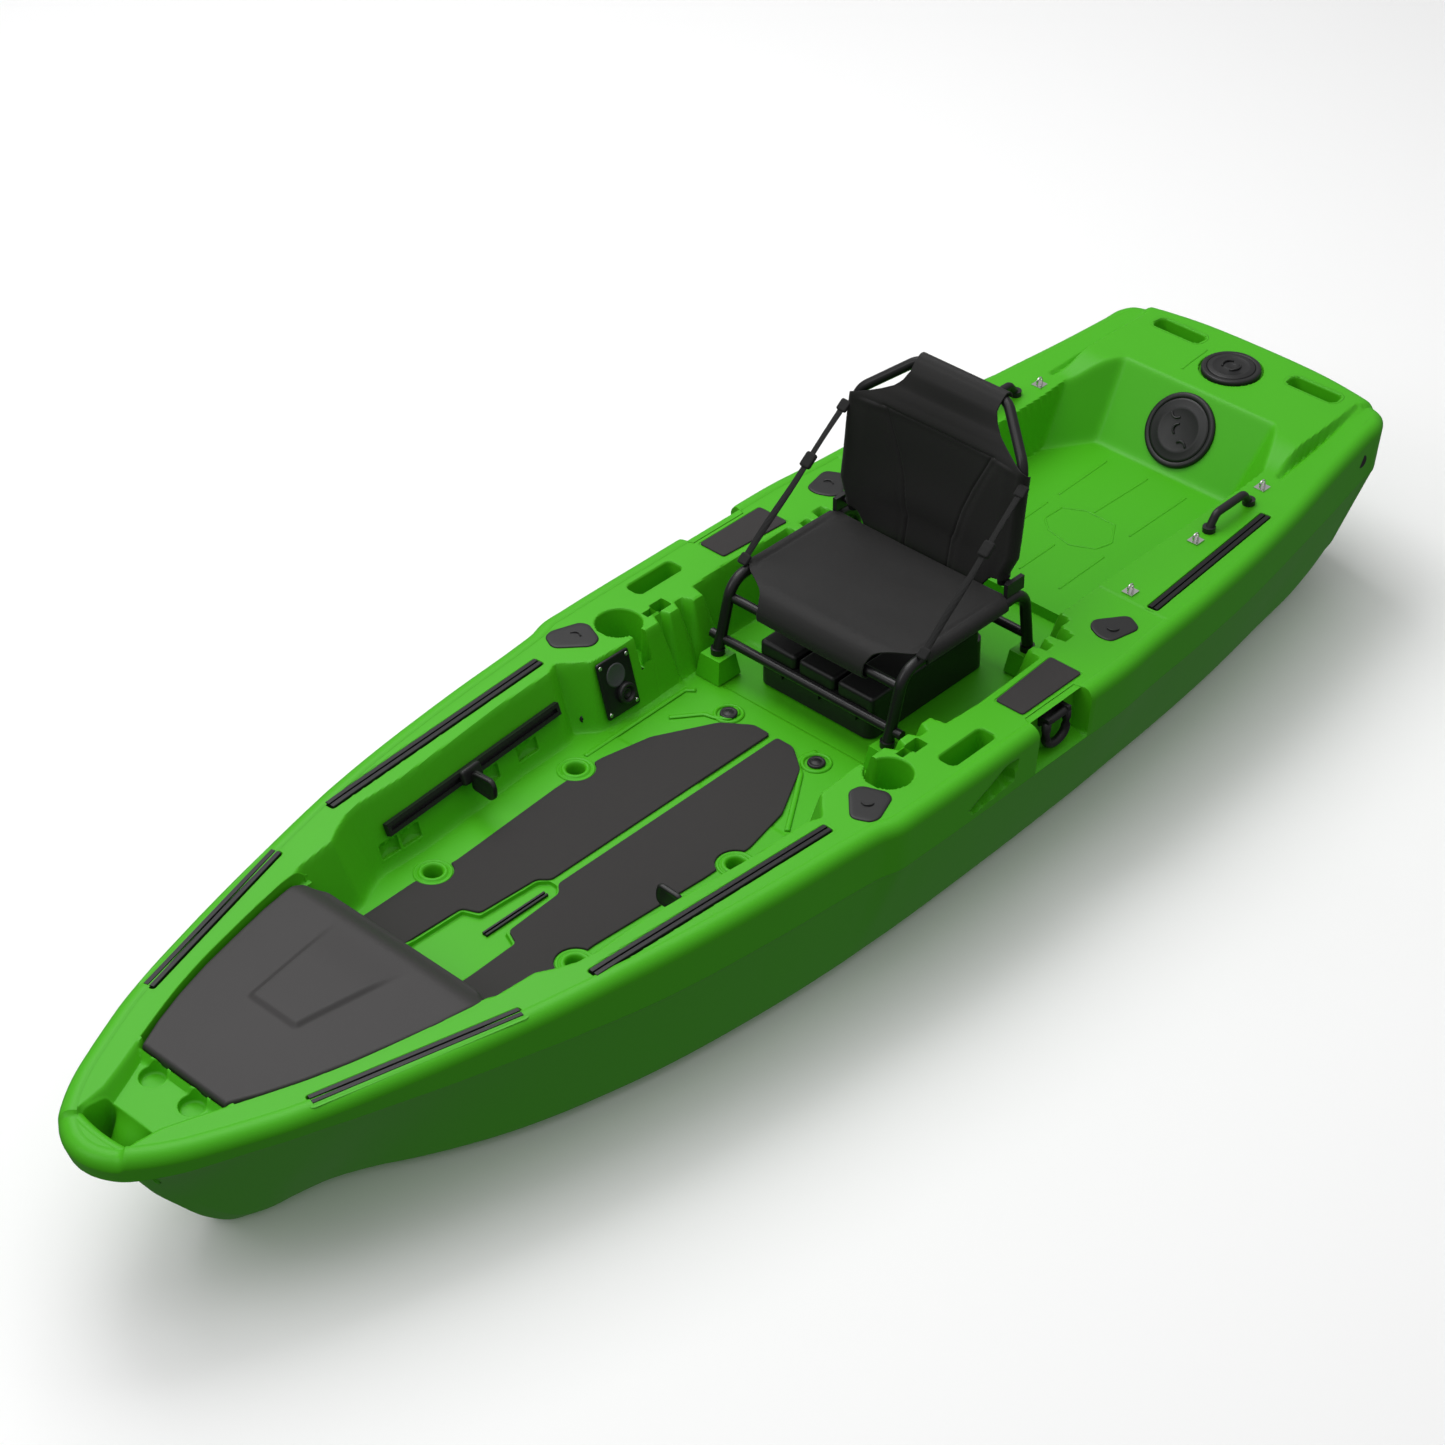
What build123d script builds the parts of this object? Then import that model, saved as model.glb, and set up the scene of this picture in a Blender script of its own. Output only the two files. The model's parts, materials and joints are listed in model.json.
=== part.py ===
from build123d import *
import math
import os

# Jet kayak: a flat-bottomed sit-on-top fishing kayak with a framed folding seat, a drive pod
# under the seat, gear tracks, foot rails and hatches.
# Millimetres. X runs forward to the bow, Y to port, Z up. The origin is midway along the hull,
# on its centre line, at the height of the floor that the flat bottom stands on.

# Hull lines
LENGTH = 3348.0
BEAM = 964.0
DECK_Z = 392.0            # top of the gunwales amidships
FLOOR_Z = 250.0           # floor of the foot well, where the two mouldings meet
TANK_FLOOR_Z = 270.0      # floor of the tank well behind the seat
BOW_Z = 371.0             # top of the gunwale at the stem
STERN_DECK_Z = 426.0      # raised stern deck
STERN_RAIL_Z = 415.0      # gunwales beside the raised stern deck
BOW_RECESS_Z = 352.0      # floor of the recess behind the bow handle
BOW_X = LENGTH / 2
STERN_X = -LENGTH / 2
COCKPIT_FRONT_X = 945.0   # rear edge of the bow cover
COCKPIT_REAR_X = -741.0   # front end of the stern's tracks


def fore(share):
    """Station at a share of the way from the cockpit to the stem."""
    return COCKPIT_FRONT_X + share * (BOW_X - COCKPIT_FRONT_X)


def aft(share):
    """Station at a share of the way from the cockpit to the transom."""
    return COCKPIT_REAR_X + share * (STERN_X - COCKPIT_REAR_X)


NOSE_X = BOW_X - 65.0
NOSE_HALF = 117.0
BOW_SIDE_HALF = 349.0     # half width of the boat beside the bow cover's rear edge
SHOULDER_X = 178.0        # where the gunwale steps out beside the front corner posts
SHOULDER_HALF = 463.0
BEAM_X = 125.0
QUARTER_X = -617.0
CORNER_X = STERN_X + 103.0
CORNER_HALF = 357.0
TRANSOM_X = STERN_X + 44.0
TRANSOM_HALF = 300.0

# Lines plan: share of half the length, half width of the bottom, its height, half width at the
# chine, its height, half width of the side where it runs out above the deck
LINES = [
    (1.0275, 8.0, 330.0, 40.0, 345.0, 200.0),
    (0.9558, 10.0, 262.0, 44.0, 282.0, 224.0),
    (0.8978, 12.0, 152.0, 38.0, 176.0, 290.0),
    (0.8542, 16.0, 68.0, 44.0, 92.0, 336.0),
    (0.8005, 28.0, 12.0, 62.0, 38.0, 384.0),
    (0.7288, 66.0, 0.0, 112.0, 28.0, 432.0),
    (0.6452, 120.0, 0.0, 176.0, 28.0, 464.0),
    (0.5376, 182.0, 0.0, 240.0, 28.0, 498.0),
    (0.3823, 250.0, 0.0, 306.0, 28.0, 530.0),
    (0.1912, 294.0, 0.0, 348.0, 28.0, 552.0),
    (0.0000, 312.0, 0.0, 366.0, 28.0, 562.0),
    (-0.2389, 312.0, 0.0, 366.0, 28.0, 562.0),
    (-0.4779, 292.0, 0.0, 346.0, 28.0, 540.0),
    (-0.6870, 262.0, 0.0, 316.0, 28.0, 500.0),
    (-0.8244, 242.0, 8.0, 298.0, 40.0, 458.0),
    (-0.9319, 224.0, 46.0, 284.0, 84.0, 412.0),
    (-1.0275, 208.0, 104.0, 266.0, 150.0, 352.0),
]
LINES_TOP_Z = 500.0

# Foot well: x, half width at the deck, x at the floor, half width at the floor
FOOT_WELL = [
    (944.0, 262.0, 915.0, 214.0),
    (862.0, 266.0, 845.0, 222.0),
    (790.0, 304.0, 780.0, 246.0),
    (650.0, 310.0, 650.0, 256.0),
    (231.0, 340.0, 246.0, 288.0),
    (196.0, 340.0, 214.0, 288.0),
    (148.0, 300.0, 160.0, 258.0),
    (-2.0, 298.0, -2.0, 258.0),
]
# Half width of the seat's side rails, which the seat well follows
SEAT_HALF = 225.0
# Seat well, in the same columns
SEAT_WELL = [
    (0.0, SEAT_HALF + 73, 0.0, SEAT_HALF + 33),
    (-166.0, SEAT_HALF + 75, -166.0, SEAT_HALF + 37),
    (-176.0, SEAT_HALF + 111, -190.0, SEAT_HALF + 71),
    (-458.0, SEAT_HALF + 109, -448.0, SEAT_HALF + 71),
    (-470.0, SEAT_HALF + 75, -462.0, SEAT_HALF + 37),
    (-596.0, SEAT_HALF + 75, -596.0, SEAT_HALF + 37),
    (-604.0, 270.0, -604.0, 250.0),
    (-748.0, 270.0, -740.0, 250.0),
]
# Tank well, in the same columns
TANK_WELL = [
    (-730.0, 270.0, -730.0, 250.0),
    (aft(0.6184), 268.0, aft(0.4920), 248.0),
    (aft(0.7278), 190.0, aft(0.6013), 182.0),
]
WELL_OVER = 1.0           # how far the wells' cutters stand above the deck
BULK_X = COCKPIT_FRONT_X - 30     # split between the bow and the middle mouldings
TAIL_X = COCKPIT_REAR_X + 1       # split between the middle and the stern mouldings
CLEAR_Z = 460.0           # above everything that is cut from the deck
BOW_WELL = [
    (fore(0.6241), 96.0, fore(0.5144), 60.0),
    (fore(0.3224), 178.0, fore(0.3086), 120.0),
    (fore(0.0645), 220.0, fore(0.0645), 170.0),
]
BOW_WELL_Z = 262.0
BULKHEAD_TOP_Z = 322.0

# Bow cover
COVER_FRONT_X = fore(0.6749)
COVER_FRONT_HALF = 106.0
COVER_MID_X = fore(0.3909)
COVER_MID_HALF = 186.0
COVER_REAR_X = fore(0.0535)
COVER_REAR_HALF = 238.0
COVER_LIP_X = COCKPIT_FRONT_X
COVER_THICK = 22.0
COVER_GAP = 6.0
COVER_SEAT = 0.4          # clearance of the cover above its recess
COVER_LIP_DEPTH = 34.0
COVER_TOP_Z = BOW_RECESS_Z + COVER_SEAT + COVER_THICK
COVER_AXIS_X = COVER_LIP_X + 12.0
COVER_PIN_Y = COVER_REAR_HALF - 38.0
COVER_AXIS_Z = COVER_TOP_Z - 12.0
COVER_HEEL_HALF = COVER_REAR_HALF - 20.0  # half width of the room under the cover's rear edge
GRIP_X = fore(0.7078)     # finger recesses at the front edge of the cover
GRIP_Y = 52.0
GRIP_R = 26.0
GRIP_DEPTH = 14.0

# Bow handle
SLOT_REAR_X = BOW_X - 126.0
SLOT_FRONT_X = BOW_X - 62.0
SLOT_HALF = 62.0

# Cup holders, carry slots and pads on the gunwales
CUP_X = 19.0
CUP_Y = 355.0
CUP_R = 48.0
CUP_DEPTH = 95.0
CUP_NOTCH = 34.0
CARRY_X = -142.0
CARRY_Y = 412.0
CARRY_LENGTH = 150.0
CARRY_WIDTH = 44.0
CARRY_DEPTH = 110.0
PAD_X = -382.0
PAD_Y = 390.0
PAD_LENGTH = 184.0
PAD_WIDTH = 74.0
PAD_THICK = 4.0
CORNER_COVER_X = (120.0, -631.0)
CORNER_COVER_Y = 381.0
CORNER_COVER_R = 44.0
CORNER_COVER_THICK = 5.0
NOTCH_X = (-47.0, -112.0, -495.0, -545.0)
NOTCH_WIDTH = 26.0
NOTCH_DEPTH = 60.0
NOTCH_OUT = 328.0

# Tracks: front x, front y, rear x, rear y, top height
TRACKS = {
    "bow_tracks": (fore(0.5377), 212.0, fore(0.0055), 320.0, 381.0),
    "mid_tracks": (796.0, 345.0, 219.0, 380.0, 392.0),
    "rear_tracks": (aft(0.0), 396.0, aft(0.4534), 366.0, 392.0),
}
TRACK_WIDTH = 20.0
TRACK_DEPTH = 9.0
TRACK_SLOT = 7.0

# Stern deck
STERN_RAMP_X = aft(0.5734)
STERN_STEP_X = aft(0.6742)
STERN_DECK_HALF = 298.0
STERN_SLOT_X = STERN_X + 84.0
STERN_SLOT_Y = 182.0
STERN_SLOT_LENGTH = 130.0
STERN_SLOT_WIDTH = 40.0
STERN_HATCH_X = aft(0.8510)
STERN_HATCH_R = 66.0
TANK_HATCH_R = 84.0
TANK_HATCH_SHARE = 0.50   # how far up the back wall the hatch sits
HATCH_THICK = 9.0
RING_WIDTH = 12.0
PAD_EYE_X = (aft(0.0140), aft(0.2658), aft(0.5370))
PAD_EYE_Y = (329.0, 316.0, 300.0)
PAD_EYE_SIZE = 26.0
PAD_EYE_ROD = 2.5
REAR_HANDLE_X = aft(0.3912)
REAR_HANDLE_Y = 314.0
REAR_HANDLE_LENGTH = aft(0.3172) - aft(0.4651)
REAR_HANDLE_RISE = 34.0
REAR_HANDLE_R = 9.0

# Plugs high on the quarters
SIDE_PLUG_X = STERN_X + 150.0
SIDE_PLUG_Z = 351.0
SIDE_PLUG_R = 15.0
SIDE_PLUG_Y = 346.0       # inner face of the plugs
SIDE_PLUG_LENGTH = 18.0
STERN_GROOVE = (aft(0.5948), 306.0, aft(0.9250), 290.0)
STERN_GROOVE_WIDTH = 18.0
STERN_GROOVE_DEPTH = 7.0

# Side handle and its recess
HANDLE_X = -360.0
HANDLE_Z = 366.0
HANDLE_RECESS_LENGTH = 160.0
HANDLE_RECESS_Y = 438.0
HANDLE_RECESS_Z = 292.0
HANDLE_WIDTH = 70.0
HANDLE_DROP = 56.0
HANDLE_ROD_R = 7.0

# Grip scoops in the sides below the carry slots: x, z
SCOOP = [(-178.0, 358.0), (-215.0, 357.0), (-209.0, 304.0), (-94.0, 291.0), (-78.0, 308.0)]
SCOOP_Y = 460.0
# Pockets in the foot well's walls below the rails: front x, rear x
WALL_POCKETS = [(813.0, 751.0), (698.0, 644.0), (477.0, 416.0), (366.0, 306.0)]
WALL_POCKET_Z = (272.0, 300.0)
WALL_POCKET_DEPTH = 9.0

# Floor
FLOOR_PAD_THICK = 3.0
FLOOR_STRIP = 7.0
SCUPPER_X = (690.0, 288.0)
SCUPPER_Y = (189.0, 213.0)
SCUPPER_R = 12.0
SCUPPER_RING = 22.0
PLUG_X = -46.0
PLUG_Y = 117.0
PLUG_R = 15.0
# Floor pad outline: x, y
FLOOR_PAD = [
    (900.0, FLOOR_STRIP), (845.0, 190.0), (735.0, 206.0), (640.0, 182.0), (360.0, 198.0),
    (235.0, 200.0), (118.0, 176.0), (-8.0, 109.0), (-50.0, 50.0), (-50.0, FLOOR_STRIP),
]
# Recessed plate between the pads, with the floor track along its stem: x, half width
PLATE = [(910.0, 71.0), (839.0, 71.0), (730.0, 68.0), (716.0, 34.0), (576.0, 26.0), (559.0, 10.0)]
PLATE_DEPTH = 8.0
FLOOR_TRACK_X = (743.0, 585.0)
FLOOR_TRACK_Y = 6.0
FLOOR_TRACK_WIDTH = 12.0
FLOOR_TRACK_SLOT = 4.0
FLOOR_TRACK_DEPTH = 6.0

# Foot rails and pegs
RAIL_FRONT_X = 724.0
RAIL_REAR_X = 240.0
RAIL_Z = 326.0
RAIL_HEIGHT = 26.0
RAIL_THICK = 12.0
RAIL_FRONT_Y = 272.5
RAIL_REAR_Y = 307.5
WALL_LEAN = 20.5          # lean of the foot well's walls, in degrees
PEG_X = 500.0
PEG_WIDTH = 46.0
PEG_REACH = 62.0

# Control panel on the starboard corner post
PANEL_LENGTH = 86.0
PANEL_HEIGHT = 118.0
PANEL_THICK = 5.0
PANEL_X = 104.0
PANEL_Z = 324.0
SOCKET_R = 19.0

# Drive pod, intake and nozzle
POD_FRONT_X = -168.0
POD_REAR_X = -520.0
POD_HALF = 150.0
POD_DECK_Z = 318.0        # top of the pod's base, under its modules
POD_TOP_Z = 350.0
POD_MODULES = 3
POD_SEAM = 8.0            # gap between the modules
LATCH_SIZE = (6.0, 34.0, 26.0)
LATCH_Y = 98.0
WELL_FRONT_X = -210.0
WELL_REAR_X = -490.0
WELL_HALF = 96.0
WELL_GAP = 3.0
GRILLE_Z = 12.0
TUNNEL_END_X = -960.0
TUNNEL_HALF = 70.0
TUNNEL_TOP_Z = 78.0
NOZZLE_R = 34.0
NOZZLE_LENGTH = 150.0
NOZZLE_Z = 40.0

# Seat frame
TUBE_R = 12.0
SEAT_Z = 459.0            # centre of the side rails
SEAT_FRONT_X = -173.0
SEAT_REAR_X = -540.0
LEG_X = (-130.0, -560.0)
FOOT_Z = 301.0            # underside of the legs, on the posts
POST_HALF_X = 24.0
POST_HALF_Y = 26.0
UPPER_BAR_Z = 420.0
LOWER_BAR_Z = 333.0
LOWER_BAR_HALF = SEAT_HALF + 27.0
HINGE_X = -505.0
HINGE_Z = 490.0
BACK_FLARE = (18.0, 62.0)  # heights above the hinge between which the back frame widens
BACK_HALF = SEAT_HALF - 29.0      # back frame between the hinges
BACK_WIDE = SEAT_HALF - 11.0      # and above them
BACK_TOP_HALF = BACK_WIDE - 102.0
BACK_TOP_X = -600.0
BACK_TOP_Z = 825.0
BACK_BEND_Z = 745.0
BACK_BEND_X = -530.0
PIN_R = 6.0
SLING_THICK = 10.0
STRAP_WIDTH = 20.0
STRAP_THICK = 2.0
STRAP_TOP_Z = 715.0

SEAT_GAP = 0.3            # clearance at the seat of a piece on a leaning wall
PARTS = {}


def keep(name, *shapes):
    """Store a node made of one or more solids that don't touch."""
    solids = []
    for shape in shapes:
        solids.extend(shape.solids())
    PARTS[name] = Compound(children=solids) if len(solids) > 1 else solids[0]


def mirror_y(shape):
    """The same piece on the other side of the boat."""
    return mirror(shape, about=Plane.XZ)


def block(x0, x1, y0, y1, z0, z1):
    """Box between two corners."""
    size = (abs(x1 - x0), abs(y1 - y0), abs(z1 - z0))
    return Pos((x0 + x1) / 2, (y0 + y1) / 2, (z0 + z1) / 2) * Box(*size)


def disc(x, y, z0, z1, radius):
    """Upright cylinder from z0 to z1."""
    return Pos(x, y, (z0 + z1) / 2) * Cylinder(radius, z1 - z0)


def prism(points, z0, z1):
    """Upright prism on a closed plan outline."""
    face = make_face(Polyline(*[(x, y) for x, y in points], close=True))
    return extrude(Pos(0, 0, z0) * face, amount=z1 - z0)


def side_prism(points, half):
    """Prism across the boat on a closed outline in X and Z."""
    face = make_face(Polyline(*[(x, 0, z) for x, z in points], close=True))
    return extrude(face, amount=half, dir=(0, 1, 0), both=True)


def well(table, z_top, z_floor):
    """Drafted well: a ruled loft from its outline at the deck to its outline at the floor."""
    top = [(x, y) for x, y, _, _ in table]
    low = [(x, y) for _, _, x, y in table]
    top += [(x, -y) for x, y in reversed(top)]
    low += [(x, -y) for x, y in reversed(low)]
    faces = []
    for z, outline in ((z_top, top), (z_floor, low)):
        faces.append(Pos(0, 0, z) * make_face(Polyline(*outline, close=True)))
    return loft(faces, ruled=True)


def tube(points, radii, radius):
    """Round bar along straight runs joined by arcs."""
    path = FilletPolyline(*points, radius=radii) if radii else Polyline(*points)
    start = Plane(path @ 0, z_dir=path % 0)
    return sweep(start * Circle(radius), path=path)


def plan_face():
    """Gunwale outline seen from above, in arcs."""
    quarter_mid = ((QUARTER_X + CORNER_X) / 2, 432.0)
    right = [
        ThreePointArc((BOW_X, 0), (BOW_X - 22, 74), (NOSE_X, NOSE_HALF)),
        ThreePointArc((NOSE_X, NOSE_HALF), (COCKPIT_FRONT_X + 17, BOW_SIDE_HALF),
                      (SHOULDER_X, SHOULDER_HALF)),
        Line((SHOULDER_X, SHOULDER_HALF), (BEAM_X, BEAM / 2 - 5)),
        ThreePointArc((BEAM_X, BEAM / 2 - 5), (-246, BEAM / 2), (QUARTER_X, BEAM / 2 - 7)),
        ThreePointArc((QUARTER_X, BEAM / 2 - 7), quarter_mid, (CORNER_X, CORNER_HALF)),
        ThreePointArc((CORNER_X, CORNER_HALF), (CORNER_X - 40, CORNER_HALF - 20),
                      (TRANSOM_X, TRANSOM_HALF)),
        ThreePointArc((TRANSOM_X, TRANSOM_HALF), (STERN_X + 12, 160), (STERN_X, 0)),
    ]
    left = [mirror(edge, about=Plane.XZ) for edge in right]
    return make_face([*right, *left])


def hull_block():
    """The closed outer form of the boat: its lines plan, trimmed by the gunwale outline."""
    sections = []
    for share, bottom, bottom_z, chine, chine_z, side in LINES:
        x = share * BOW_X
        half = [(bottom, bottom_z), (chine, chine_z), (side, LINES_TOP_Z)]
        ring = [(x, y, z) for y, z in half] + [(x, -y, z) for y, z in reversed(half)]
        sections.append(make_face(Polyline(*ring, close=True)))
    form = loft(sections, ruled=True)
    return form & extrude(plan_face(), amount=LINES_TOP_Z - 5)


def deck_top():
    """Everything above the sheer line, to cut away."""
    line = [
        (BOW_X + 50, BOW_Z), (fore(0.4733), 380), (COCKPIT_FRONT_X - 185, DECK_Z), (STERN_RAMP_X, DECK_Z),
        (STERN_STEP_X, STERN_DECK_Z), (STERN_X - 50, STERN_DECK_Z),
        (STERN_X - 50, LINES_TOP_Z + 5), (BOW_X + 50, LINES_TOP_Z + 5),
    ]
    return side_prism(line, BEAM)


def slot_cut(x, y, length, width, z0, z1, turn=0.0):
    """Upright slot with round ends."""
    face = Pos(x, y, z0) * Rot(0, 0, turn) * SlotOverall(length, width)
    return extrude(face, amount=z1 - z0)


def track_line(name):
    """Middle, length and turn of a track on the port side."""
    x0, y0, x1, y1, z = TRACKS[name]
    turn = math.degrees(math.atan2(y0 - y1, x0 - x1))
    return (x0 + x1) / 2, (y0 + y1) / 2, math.hypot(x0 - x1, y0 - y1), turn, z


def bow_cover_face(grow):
    """Plan outline of the bow cover, grown by a gap."""
    pts = [(COVER_FRONT_X + grow, COVER_FRONT_HALF), (COVER_MID_X, COVER_MID_HALF + grow),
           (COVER_REAR_X, COVER_REAR_HALF + grow), (COVER_LIP_X - grow, COVER_REAR_HALF - 36)]
    side = [
        ThreePointArc(pts[0], pts[1], pts[2]),
        Line(pts[2], pts[3]),
    ]
    other = [mirror(edge, about=Plane.XZ) for edge in side]
    ends = [
        Line(pts[0], (pts[0][0], -pts[0][1])),
        Line(pts[3], (pts[3][0], -pts[3][1])),
    ]
    return make_face([*side, *other, *ends])


def swing_room():
    """Half width of the pocket beside the bow cover's hinge."""
    return COVER_REAR_HALF + COVER_GAP


def tank_wall_plane():
    """Middle of the tank well's back wall, facing forward and up, with x across the boat."""
    top_x, _, low_x, _ = TANK_WELL[2]
    rise = STERN_DECK_Z + WELL_OVER - TANK_FLOOR_Z
    run = low_x - top_x
    spot = (low_x - run * TANK_HATCH_SHARE, 0, TANK_FLOOR_Z + rise * TANK_HATCH_SHARE)
    return Plane(spot, x_dir=(0, 1, 0), z_dir=(rise, 0, run))


def panel_plane():
    """Inner face of the starboard corner post, facing inboard, with y up the wall."""
    _, top_half, _, low_half = FOOT_WELL[-1]
    x0, top_half_0, x1, low_half_0 = FOOT_WELL[-2]
    top = Vector(FOOT_WELL[-1][0], -top_half, DECK_Z + WELL_OVER)
    low = Vector(FOOT_WELL[-1][2], -low_half, FLOOR_Z)
    fore = Vector(x1, -low_half_0, FLOOR_Z)
    normal = (low - top).cross(fore - low).normalized()
    if normal.Y < 0:
        normal = -normal
    share = (PANEL_Z - FLOOR_Z) / (DECK_Z + WELL_OVER - FLOOR_Z)
    spot = low + (top - low) * share
    return Plane((PANEL_X, spot.Y, spot.Z), x_dir=(-1, 0, 0), z_dir=normal)


def rail_run(x):
    """Distance along a foot rail from its middle to a station."""
    turn = math.atan2(RAIL_FRONT_Y - RAIL_REAR_Y, RAIL_FRONT_X - RAIL_REAR_X)
    return (x - (RAIL_FRONT_X + RAIL_REAR_X) / 2) / math.cos(turn)


def on_rail(side):
    """Place at the middle of a foot rail, turned along the well's wall and leaning with it."""
    turn = math.degrees(math.atan2(RAIL_FRONT_Y - RAIL_REAR_Y, RAIL_FRONT_X - RAIL_REAR_X))
    middle = Pos((RAIL_FRONT_X + RAIL_REAR_X) / 2, (RAIL_FRONT_Y + RAIL_REAR_Y) / 2 * side, RAIL_Z)
    back = Pos(0, RAIL_THICK / 2 * side, 0)
    return middle * Rot(0, 0, turn * side) * Rot(-WALL_LEAN * side, 0, 0) * back


def mouldings():
    """Lower hull and the deck mouldings."""
    form = hull_block() - deck_top()
    rails = block(STERN_X, STERN_STEP_X - 90, STERN_DECK_HALF, BEAM, STERN_RAIL_Z, CLEAR_Z)
    form -= rails
    form -= mirror_y(rails)

    lower = form & block(STERN_X, BOW_X, -BEAM, BEAM, -10, FLOOR_Z)
    upper = form & block(STERN_X, BOW_X, -BEAM, BEAM, FLOOR_Z, CLEAR_Z)

    lower -= block(WELL_FRONT_X, WELL_REAR_X, -WELL_HALF, WELL_HALF, -10, FLOOR_Z + 10)
    lower -= block(WELL_REAR_X + 1, TUNNEL_END_X, -TUNNEL_HALF, TUNNEL_HALF, -10, TUNNEL_TOP_Z)
    for x, y in zip(SCUPPER_X, SCUPPER_Y):
        for side in (1, -1):
            lower -= disc(x, y * side, -10, FLOOR_Z + 10, SCUPPER_R)
    lower -= block(SLOT_REAR_X, SLOT_FRONT_X, -SLOT_HALF, SLOT_HALF, 100, CLEAR_Z)
    outline = PLATE + [(x, -y) for x, y in reversed(PLATE)]
    lower -= prism(outline, FLOOR_Z - PLATE_DEPTH, FLOOR_Z + 10)
    keep("hull", lower)

    upper -= well(FOOT_WELL, DECK_Z + WELL_OVER, FLOOR_Z)
    upper -= well(SEAT_WELL, DECK_Z + WELL_OVER, FLOOR_Z)
    upper -= well(TANK_WELL, STERN_DECK_Z + WELL_OVER, TANK_FLOOR_Z)
    upper -= extrude(Pos(0, 0, BOW_RECESS_Z) * bow_cover_face(COVER_GAP),
                     amount=CLEAR_Z - BOW_RECESS_Z)
    upper -= block(COVER_AXIS_X - 30, COVER_REAR_X, -swing_room(), swing_room(),
                   BOW_RECESS_Z, CLEAR_Z)
    recess = [(BOW_X - 24, 44), (SLOT_REAR_X, 68), (BOW_X - 165, 86), (COVER_FRONT_X - 17, 126)]
    recess += [(x, -y) for x, y in reversed(recess)]
    upper -= prism(recess, BOW_RECESS_Z, CLEAR_Z)
    upper -= block(SLOT_REAR_X, SLOT_FRONT_X, -SLOT_HALF, SLOT_HALF, 200, CLEAR_Z)
    upper -= well(BOW_WELL, BOW_RECESS_Z + WELL_OVER, BOW_WELL_Z)
    upper -= block(BULK_X - 30, BOW_WELL[2][0] + 5, -COVER_HEEL_HALF, COVER_HEEL_HALF,
                   BULKHEAD_TOP_Z, CLEAR_Z)

    for side in (1, -1):
        upper -= disc(GRIP_X, GRIP_Y * side, BOW_RECESS_Z - GRIP_DEPTH, CLEAR_Z, GRIP_R)
        cup = disc(CUP_X, CUP_Y * side, DECK_Z - CUP_DEPTH, CLEAR_Z, CUP_R)
        cup += block(CUP_X - CUP_NOTCH / 2, CUP_X + CUP_NOTCH / 2, SEAT_HALF * side,
                     CUP_Y * side, DECK_Z - CUP_DEPTH, CLEAR_Z)
        upper -= cup
        upper -= slot_cut(CARRY_X, CARRY_Y * side, CARRY_LENGTH, CARRY_WIDTH,
                          DECK_Z - CARRY_DEPTH, CLEAR_Z)
        upper -= block(PAD_X - PAD_LENGTH / 2, PAD_X + PAD_LENGTH / 2,
                       (PAD_Y - PAD_WIDTH / 2) * side, (PAD_Y + PAD_WIDTH / 2) * side,
                       DECK_Z - PAD_THICK + 1, CLEAR_Z)
        upper -= slot_cut(STERN_SLOT_X, STERN_SLOT_Y * side, STERN_SLOT_LENGTH,
                          STERN_SLOT_WIDTH, STERN_DECK_Z - CARRY_DEPTH, CLEAR_Z, 90)
        upper -= block(HANDLE_X - HANDLE_RECESS_LENGTH / 2, HANDLE_X + HANDLE_RECESS_LENGTH / 2,
                       HANDLE_RECESS_Y * side, BEAM * side, HANDLE_RECESS_Z, CLEAR_Z)
        scoop = make_face(Polyline(*[(x, SCOOP_Y * side, z) for x, z in SCOOP], close=True))
        upper -= extrude(scoop, amount=BEAM - SCOOP_Y, dir=(0, side, 0))
        for x in NOTCH_X:
            upper -= block(x - NOTCH_WIDTH / 2, x + NOTCH_WIDTH / 2, SEAT_HALF * side,
                           NOTCH_OUT * side, DECK_Z - NOTCH_DEPTH, CLEAR_Z)
        for x in CORNER_COVER_X:
            upper -= disc(x, CORNER_COVER_Y * side, DECK_Z - CORNER_COVER_THICK + 1, CLEAR_Z,
                          CORNER_COVER_R + 1)
        for front, rear in WALL_POCKETS:
            low, high = WALL_POCKET_Z
            pocket = Box(front - rear, 2 * WALL_POCKET_DEPTH, high - low)
            upper -= on_rail(side) * Pos(rail_run((front + rear) / 2), 0,
                                         (low + high) / 2 - RAIL_Z) * pocket
        x0, y0, x1, y1 = STERN_GROOVE
        turn = math.degrees(math.atan2(y0 - y1, x0 - x1)) * side
        middle = Pos((x0 + x1) / 2, (y0 + y1) / 2 * side, STERN_DECK_Z)
        upper -= middle * Rot(0, 0, turn) * Box(math.hypot(x0 - x1, y0 - y1),
                                                STERN_GROOVE_WIDTH, 2 * STERN_GROOVE_DEPTH)
        bore = Pos(SIDE_PLUG_X, (SIDE_PLUG_Y + SIDE_PLUG_LENGTH) * side, SIDE_PLUG_Z)
        upper -= bore * Rot(90, 0, 0) * Cylinder(SIDE_PLUG_R + SEAT_GAP, 2 * SIDE_PLUG_LENGTH)
        for name in TRACKS:
            x, y, length, turn, z = track_line(name)
            bed = Pos(x, y * side, z) * Rot(0, 0, turn * side)
            upper -= bed * Box(length + 1, TRACK_WIDTH + 1, 2 * TRACK_DEPTH)

    keep("deck_bow", upper & block(BULK_X, BOW_X, -BEAM, BEAM, 0, CLEAR_Z))
    keep("deck_stern", upper & block(STERN_X, TAIL_X, -BEAM, BEAM, 0, CLEAR_Z))
    keep("deck_side_port", upper & block(TAIL_X, BULK_X, 0, BEAM, 0, CLEAR_Z))
    keep("deck_side_starboard", upper & block(TAIL_X, BULK_X, -BEAM, 0, 0, CLEAR_Z))


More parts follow.
